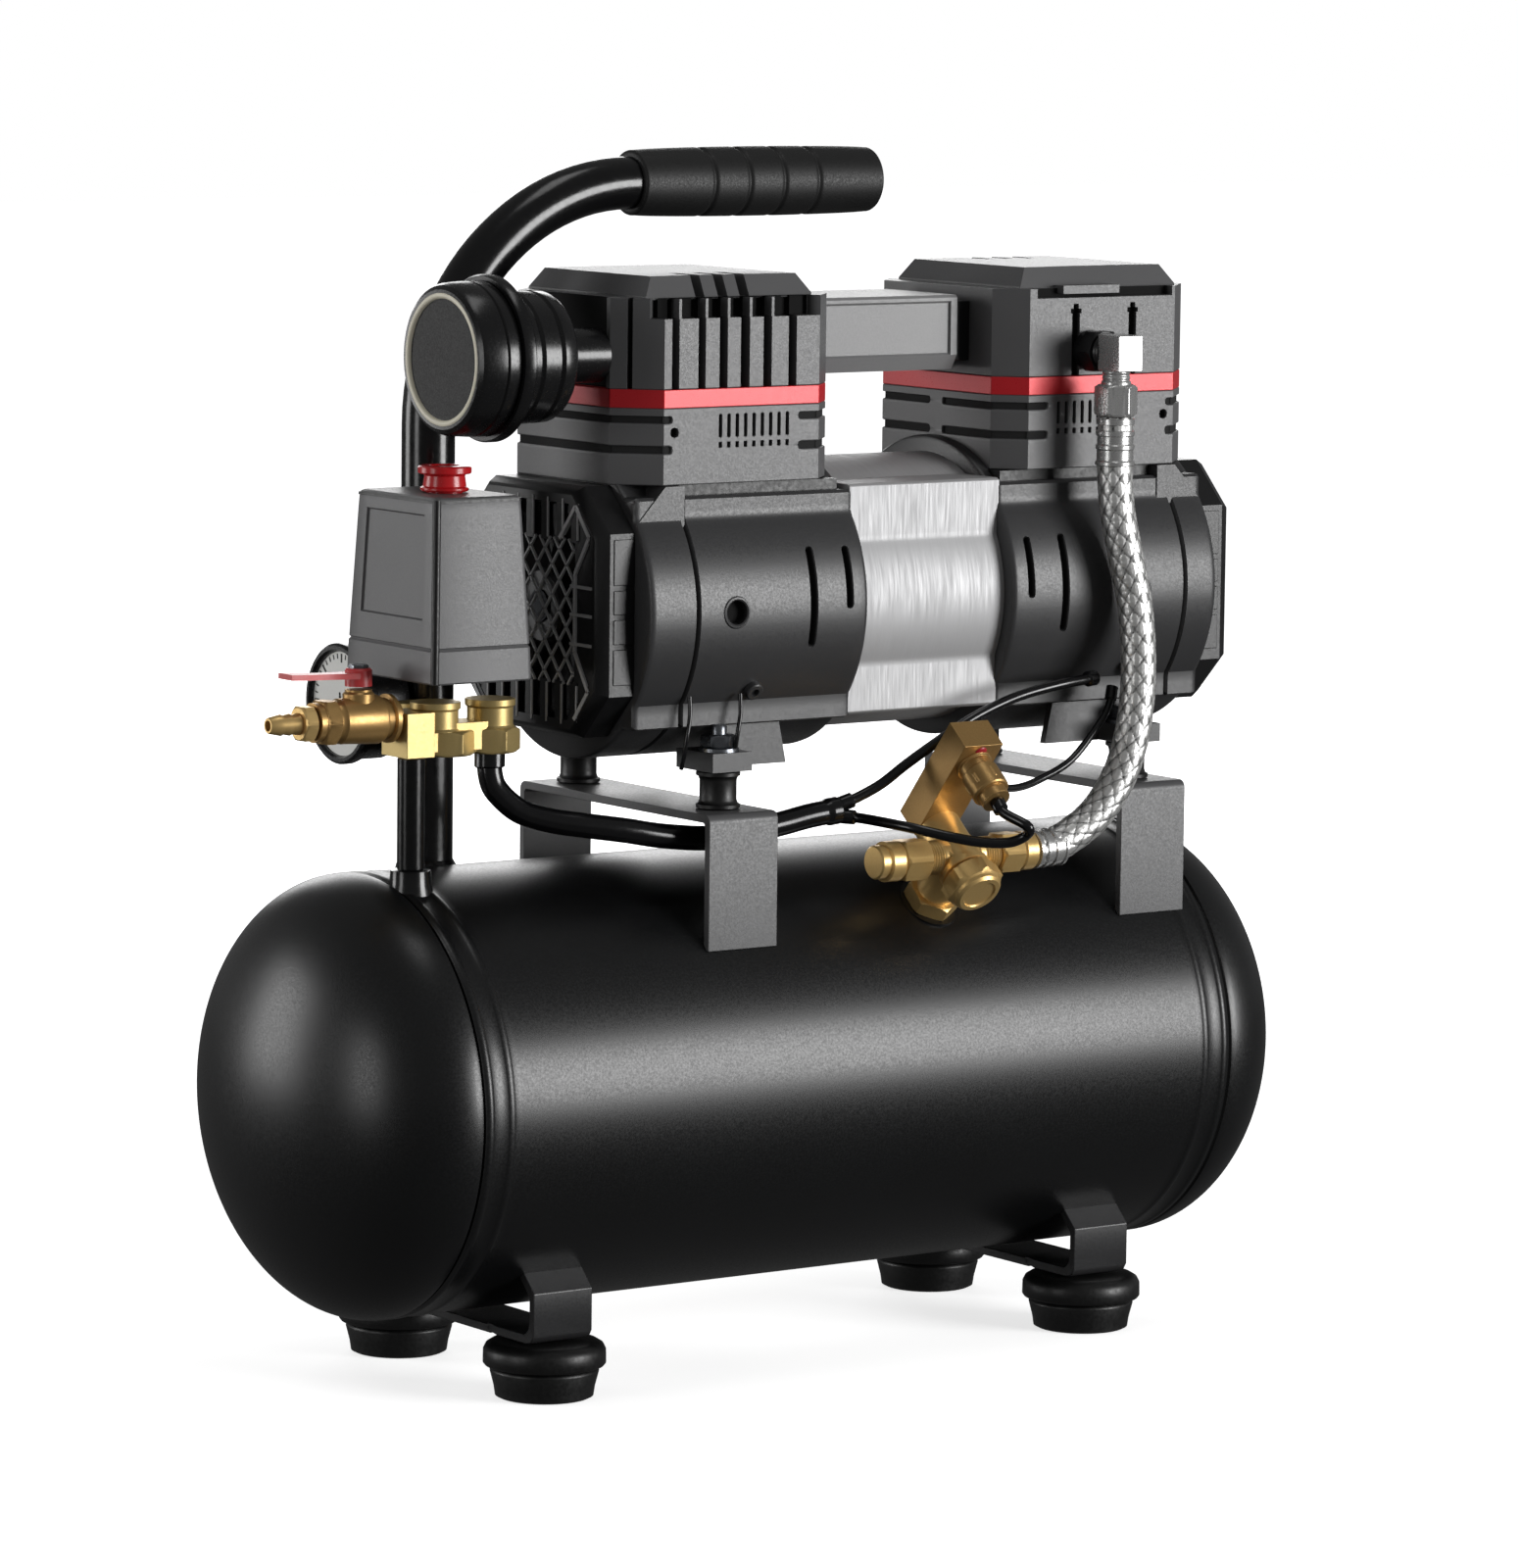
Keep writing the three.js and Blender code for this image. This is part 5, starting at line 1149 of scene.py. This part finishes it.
# Forged brass, tumbled: a little yellower and duller than the turned fittings.
bright_brass = coated("polished_brass", "#cbb47c", "#c0a76c", 0.4, 0.6, 0.001, metallic=0.7)
parts = [brick((low[0], manifold_y - 8.5, low[2] + 0.6), (-154.5, manifold_y + 8.5, high[2] - 3.0)),
         brick((-155, manifold_y - 6.5, low[2] + 2.0), (high[0] - 6, manifold_y + 6.5, low[2] + 12.0)),
         brick((-146.0, manifold_y, low[2] + 2.6), (-138.5, high[1] - 0.4, low[2] + 11.6))]
for x in (bosses_x[0] + 4.6, bosses_x[1]):
    parts.append(nut(10.9, low[2] + 0.2, low[2] + 9.4, (x, manifold_y, 0), UPWARDS, 1.0))
for x in bosses_x:
    parts.append(turned([(low[2] + 9, 0), (low[2] + 9, 9.0), (low[2] + 10.2, 8.2), (low[2] + 16.5, 8.2),
                         (low[2] + 17, 9.0), (high[2] - 0.2, 9.0), (high[2] - 0.2, 0)], (x, manifold_y, 0),
                        sides=64))
parts.append(turned([(-9.4, 0), (-9.4, 7.2), (-4, 7.2), (-4, 0)], (-142.2, 6.0, low[2] + 7.0), (0, 0, -1),
                    40))
piece("manifold_forged", parts, "frame", bright_brass, ["manifold"], sharp=30, bevel=0.5)
low, high = box_mm("riser_pipe")
line = [((low[0] + high[0]) / 2, manifold_y, z) for z in np.linspace(low[2] - 3, high[2], 24)]
pipe_z = TANK_Z + math.sqrt(TANK_R ** 2 - manifold_y ** 2)
foot = turned([(pipe_z - 4, 0), (pipe_z - 4, 8.6), (pipe_z + 1, 7.4), (pipe_z + 5.5, 7.2),
               (pipe_z + 6.2, 5.2), (pipe_z + 6.2, 0)], (line[0][0], manifold_y, 0), sides=48)
piece("riser_tube", [tube(line, 4.9, 40), foot], "frame", tube_enamel, ["riser_pipe"],
      sharp=40)

# ---------------------------------------------------------------------------------------------
# Outlet valve: a brass ball valve screwed into the manifold, with a stepped hose barb, and a short
# red-dipped steel lever held down by a nut.
low, high = box_mm("outlet_valve")
valve_z = 242.5
lever_x = -181.0
at = (0, manifold_y, valve_z)
parts = [turned([(high[0] + 0.2, 0), (high[0] + 0.2, 6.6), (-168, 6.6), (-168, 8.6), (-169.6, 8.7),
                 (-170.2, 7.4), (-172.4, 7.2), (-173, 8.3), (-174, 8.7), (-189.4, 8.0), (-190, 7.4),
                 (-191.4, 7.0), (low[0] + 0.1, 7.0), (low[0] + 0.1, 0)], at, ALONG_X, 64),
         nut(8.7, -197.5, -191.6, at, ALONG_X, 0.8),
         turned([(valve_z + 4, 0), (valve_z + 4, 5.6), (valve_z + 9.4, 5.6), (valve_z + 10.2, 4.8),
                 (high[2] - 0.1, 4.8), (high[2] - 0.1, 0)], (lever_x, manifold_y, 0), sides=48)]
piece("outlet_valve_turned", parts, "frame", dark_brass, ["outlet_valve"], sharp=30)
low, high = box_mm("hose_barb")
barb = [(high[0], 0), (high[0], 4.9), (-204, 4.9), (-204.6, 4.2), (-206, 3.3), (-206.1, 3.9), (-209.4, 3.2),
        (-209.5, 3.9), (-213, 3.2), (-213.1, 3.8), (low[0] + 0.4, 2.9), (low[0], 2.6), (low[0], 1.9),
        (-207, 1.9), (-207, 0)]
piece("hose_barb_turned", [turned(barb, at, ALONG_X, 56),
                           nut(6.9, high[0] - 5.4, high[0] - 0.2, at, ALONG_X, 0.7)], "frame",
      brass, ["hose_barb"], sharp=30)
low, high = box_mm("valve_lever")
# Dipped vinyl: a soft pinkish red coat on the steel lever.
red_vinyl = coated("red_dipped_vinyl", "#d8484a", "#c73b3e", 0.34, 0.9, 0.006)
swing = np.linspace(0, 1, 20)
blade = np.stack([low[0] + 1.0 + swing * 32.0, 3.2 + 1.4 * np.cos(np.pi * swing) ** 2], 1)
rings = [[(x, manifold_y - w, z), (x, manifold_y + w, z), (x, manifold_y + w, z + 2.0),
          (x, manifold_y - w, z + 2.0)]
         for (x, w), z in zip(blade, 257.4 + 0.9 * (1 - swing) ** 2)]
hub = turned([(254.6, 0), (254.6, 4.8), (260.2, 4.8), (260.9, 4.2), (260.9, 0)], (lever_x, manifold_y, 0),
             sides=40)
piece("valve_lever_dipped", [skin(rings), hub], "valve_lever", red_vinyl, ["valve_lever"],
      sharp=30)
piece("valve_lever_nut", [nut(3.6, 260.4, 262.2, (lever_x, manifold_y, 0), UPWARDS, 0.3)], "valve_lever",
      bolt_steel, sharp=30)

# ---------------------------------------------------------------------------------------------
# Gauge: a black moulded case that faces the outlet end, with a rolled rim, a white dial with printed
# strokes over three quarters of a turn, and a black needle on a hub.
low, high = box_mm("gauge_case")
dial_y, dial_z, gauge_r = (low[1] + high[1]) / 2, (low[2] + high[2]) / 2, (high[2] - low[2]) / 2
dial_x = low[0]
at = (0, dial_y, dial_z)
case = [(high[0], 0), (high[0], gauge_r - 4.5), (high[0] - 1.5, gauge_r - 2.2),
        (high[0] - 4, gauge_r - 1.4), (dial_x + 5, gauge_r - 1.4), (dial_x + 4.6, gauge_r - 0.3),
        (dial_x + 3.6, gauge_r), (dial_x + 0.9, gauge_r), (dial_x, gauge_r - 0.9), (dial_x, gauge_r - 2.2),
        (dial_x + 1.2, gauge_r - 2.9), (dial_x + 2.4, gauge_r - 2.9), (dial_x + 2.4, 0)]
piece("gauge_case_rimmed", [turned(case, at, ALONG_X, 96)], "frame", silencer_plastic,
      ["gauge_case"], sharp=30)
# White enamel on the dial.
dial_white = coated("white_enamelled_dial", "#eeeeea", "#e4e4df", 0.45, 0.5, 0.001)
piece("gauge_dial", [turned([(dial_x + 2.5, 0), (dial_x + 2.5, gauge_r - 3.0),
                             (dial_x + 2.1, gauge_r - 3.0), (dial_x + 2.1, 0)], at, ALONG_X, 96)], "frame",
      dial_white, sharp=30)
strokes = []
for k in range(31):
    turn = math.radians(225 - 9 * k)
    long = 3.2 if k % 5 == 0 else 1.8
    outward = np.array([-math.cos(turn), math.sin(turn)])
    middle, rim = np.array([dial_y, dial_z]), gauge_r - 3.8
    start, end = middle + outward * rim, middle + outward * (rim - long)
    strokes.append(bar(start, end, 0.5 if k % 5 else 0.8, 0.15, dial_x + 2.1, -1))
# Black printing ink, and the same black on the needle.
print_black = coated("black_printing_ink", "#101010", "#1a1a1a", 0.6, 0.4, 0.001)
piece("gauge_strokes", strokes, "frame", print_black, sharp=30)
low, high = box_mm("gauge_needle")
tip = np.array([(dial_y - 0.9, dial_z - 4), (dial_y - 1.0, dial_z), (dial_y - 0.15, low[2] + 0.3),
                (dial_y + 0.15, low[2] + 0.3), (dial_y + 1.0, dial_z), (dial_y + 0.9, dial_z + 4)])
needle_in = max(low[0], dial_x + 1.0)
piece("gauge_needle_bent", [slab(tip, needle_in, needle_in + 0.5, "x"),
                            turned([(-0.4, 0), (-0.4, 1.9), (0.6, 2.1), (1.0, 2.1), (1.0, 0)],
                                   (needle_in, dial_y, dial_z), ALONG_X, 40)], "gauge_needle",
      print_black, ["gauge_needle"], sharp=30)

# ---------------------------------------------------------------------------------------------
# Safety valve under the manifold's arm, with its pull ring, and the drain cock low on the back of
# the tank, with its bar handle: turned brass, and a ring of bright spring wire.
low, high = box_mm("safety_valve")
safety_x, safety_y = (low[0] + high[0]) / 2, (low[1] + high[1]) / 2
profile = [(high[2], 0), (high[2], 4.3)]
profile += [(high[2] - d, r - 0.1) for d, r in threads(0.5, 5, 4.4, 1.0, 0.4)]
profile += [(high[2] - 5.2, 4.0), (high[2] - 10, 4.0), (high[2] - 10.4, 4.5), (high[2] - 16, 4.5),
            (high[2] - 17, 3.6), (low[2] + 0.6, 3.5), (low[2], 3.0), (low[2], 0)]
piece("safety_valve_turned", [turned(profile, (safety_x, safety_y, 0), sides=48),
                              nut(4.6, high[2] - 10, high[2] - 6, (safety_x, safety_y, 0), UPWARDS, 0.4)],
      "frame", brass, ["safety_valve"], sharp=30)
low, high = box_mm("safety_ring")
# Drawn spring wire: bright bare steel.
spring_wire = coated("bright_spring_wire", "#c9c9ca", "#b5b5b7", 0.22, 0.5, 0.002, metallic=1.0)
turn = np.linspace(0, 2 * np.pi, 49)
ring_r, ring_z = 6.2, low[2] + 7.0
wire_round = np.stack([0.8 * np.sin(turn), ring_r + 0.8 * np.cos(turn)], 1)[:-1].tolist()
loop = turned(wire_round + [(0.0, ring_r + 0.8)], (safety_x, safety_y, ring_z), ALONG_X, 64)
stem = turned([(low[2] + 13.2, 0), (low[2] + 13.2, 1.4), (high[2] - 0.5, 1.4), (high[2], 0.9),
               (high[2], 0)], (safety_x, safety_y, 0), sides=24)
piece("safety_ring_wire", [loop, stem], "safety_ring", spring_wire, ["safety_ring"],
      sharp=40)
low, high = box_mm("drain_valve")
tilt = math.radians(37.5)
away = np.array([0, math.sin(tilt), -math.cos(tilt)])
foot = np.array([0, 0, TANK_Z]) + away * TANK_R
cock = [(-6, 0), (-6, 4.9)] + threads(-5.5, 3, 4.9, 1.0, 0.4) + [(3.4, 4.9), (3.4, 0)]
piece("drain_valve_turned", [turned(cock, foot, away, 40), nut(7.0, 3.3, 9.0, foot, away, 0.6)], "frame",
      brass, ["drain_valve"], sharp=30)
piece("drain_boss", [turned([(-4, 0), (-4, 11.5), (0.2, 11.0), (1.6, 10.0), (3.0, 9.8), (3.0, 0)], foot,
                            away, 48)], "frame", tank_enamel, sharp=50)
wing = turned([(-10, 0), (-10, 3.0), (-9.2, 3.6), (-7.4, 3.6), (-6.6, 2.4), (6.6, 2.4), (7.4, 3.6),
               (9.2, 3.6), (10, 3.0), (10, 0)], foot + away * 13.2, ALONG_X, 32)
piece("drain_knob_bar", [wing, turned([(8.6, 0), (8.6, 2.0), (13.2, 2.0), (13.2, 0)], foot, away, 32)],
      "drain_knob", brass, ["drain_knob"], sharp=35)

# ---------------------------------------------------------------------------------------------
# Inside: shaft, pistons and the check valve's poppet keep their CAD shapes, which nothing shows from
# outside; they get ground steel, cast aluminium and brass.
ground_steel = coated("oiled_ground_steel", "#3a3b3d", "#2c2d2f", 0.5, 0.6, 0.002, metallic=1.0)
piston_metal = coated("machined_cast_aluminium", "#b9babb", "#a9abad", 0.42, 0.6, 0.004, metallic=0.8)
for node, metal in (("rotor_shaft", ground_steel), ("piston_left", piston_metal),
                    ("piston_right", piston_metal), ("check_valve_poppet", brass)):
    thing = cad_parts[node]
    thing.data.materials.clear()
    thing.data.materials.append(metal)
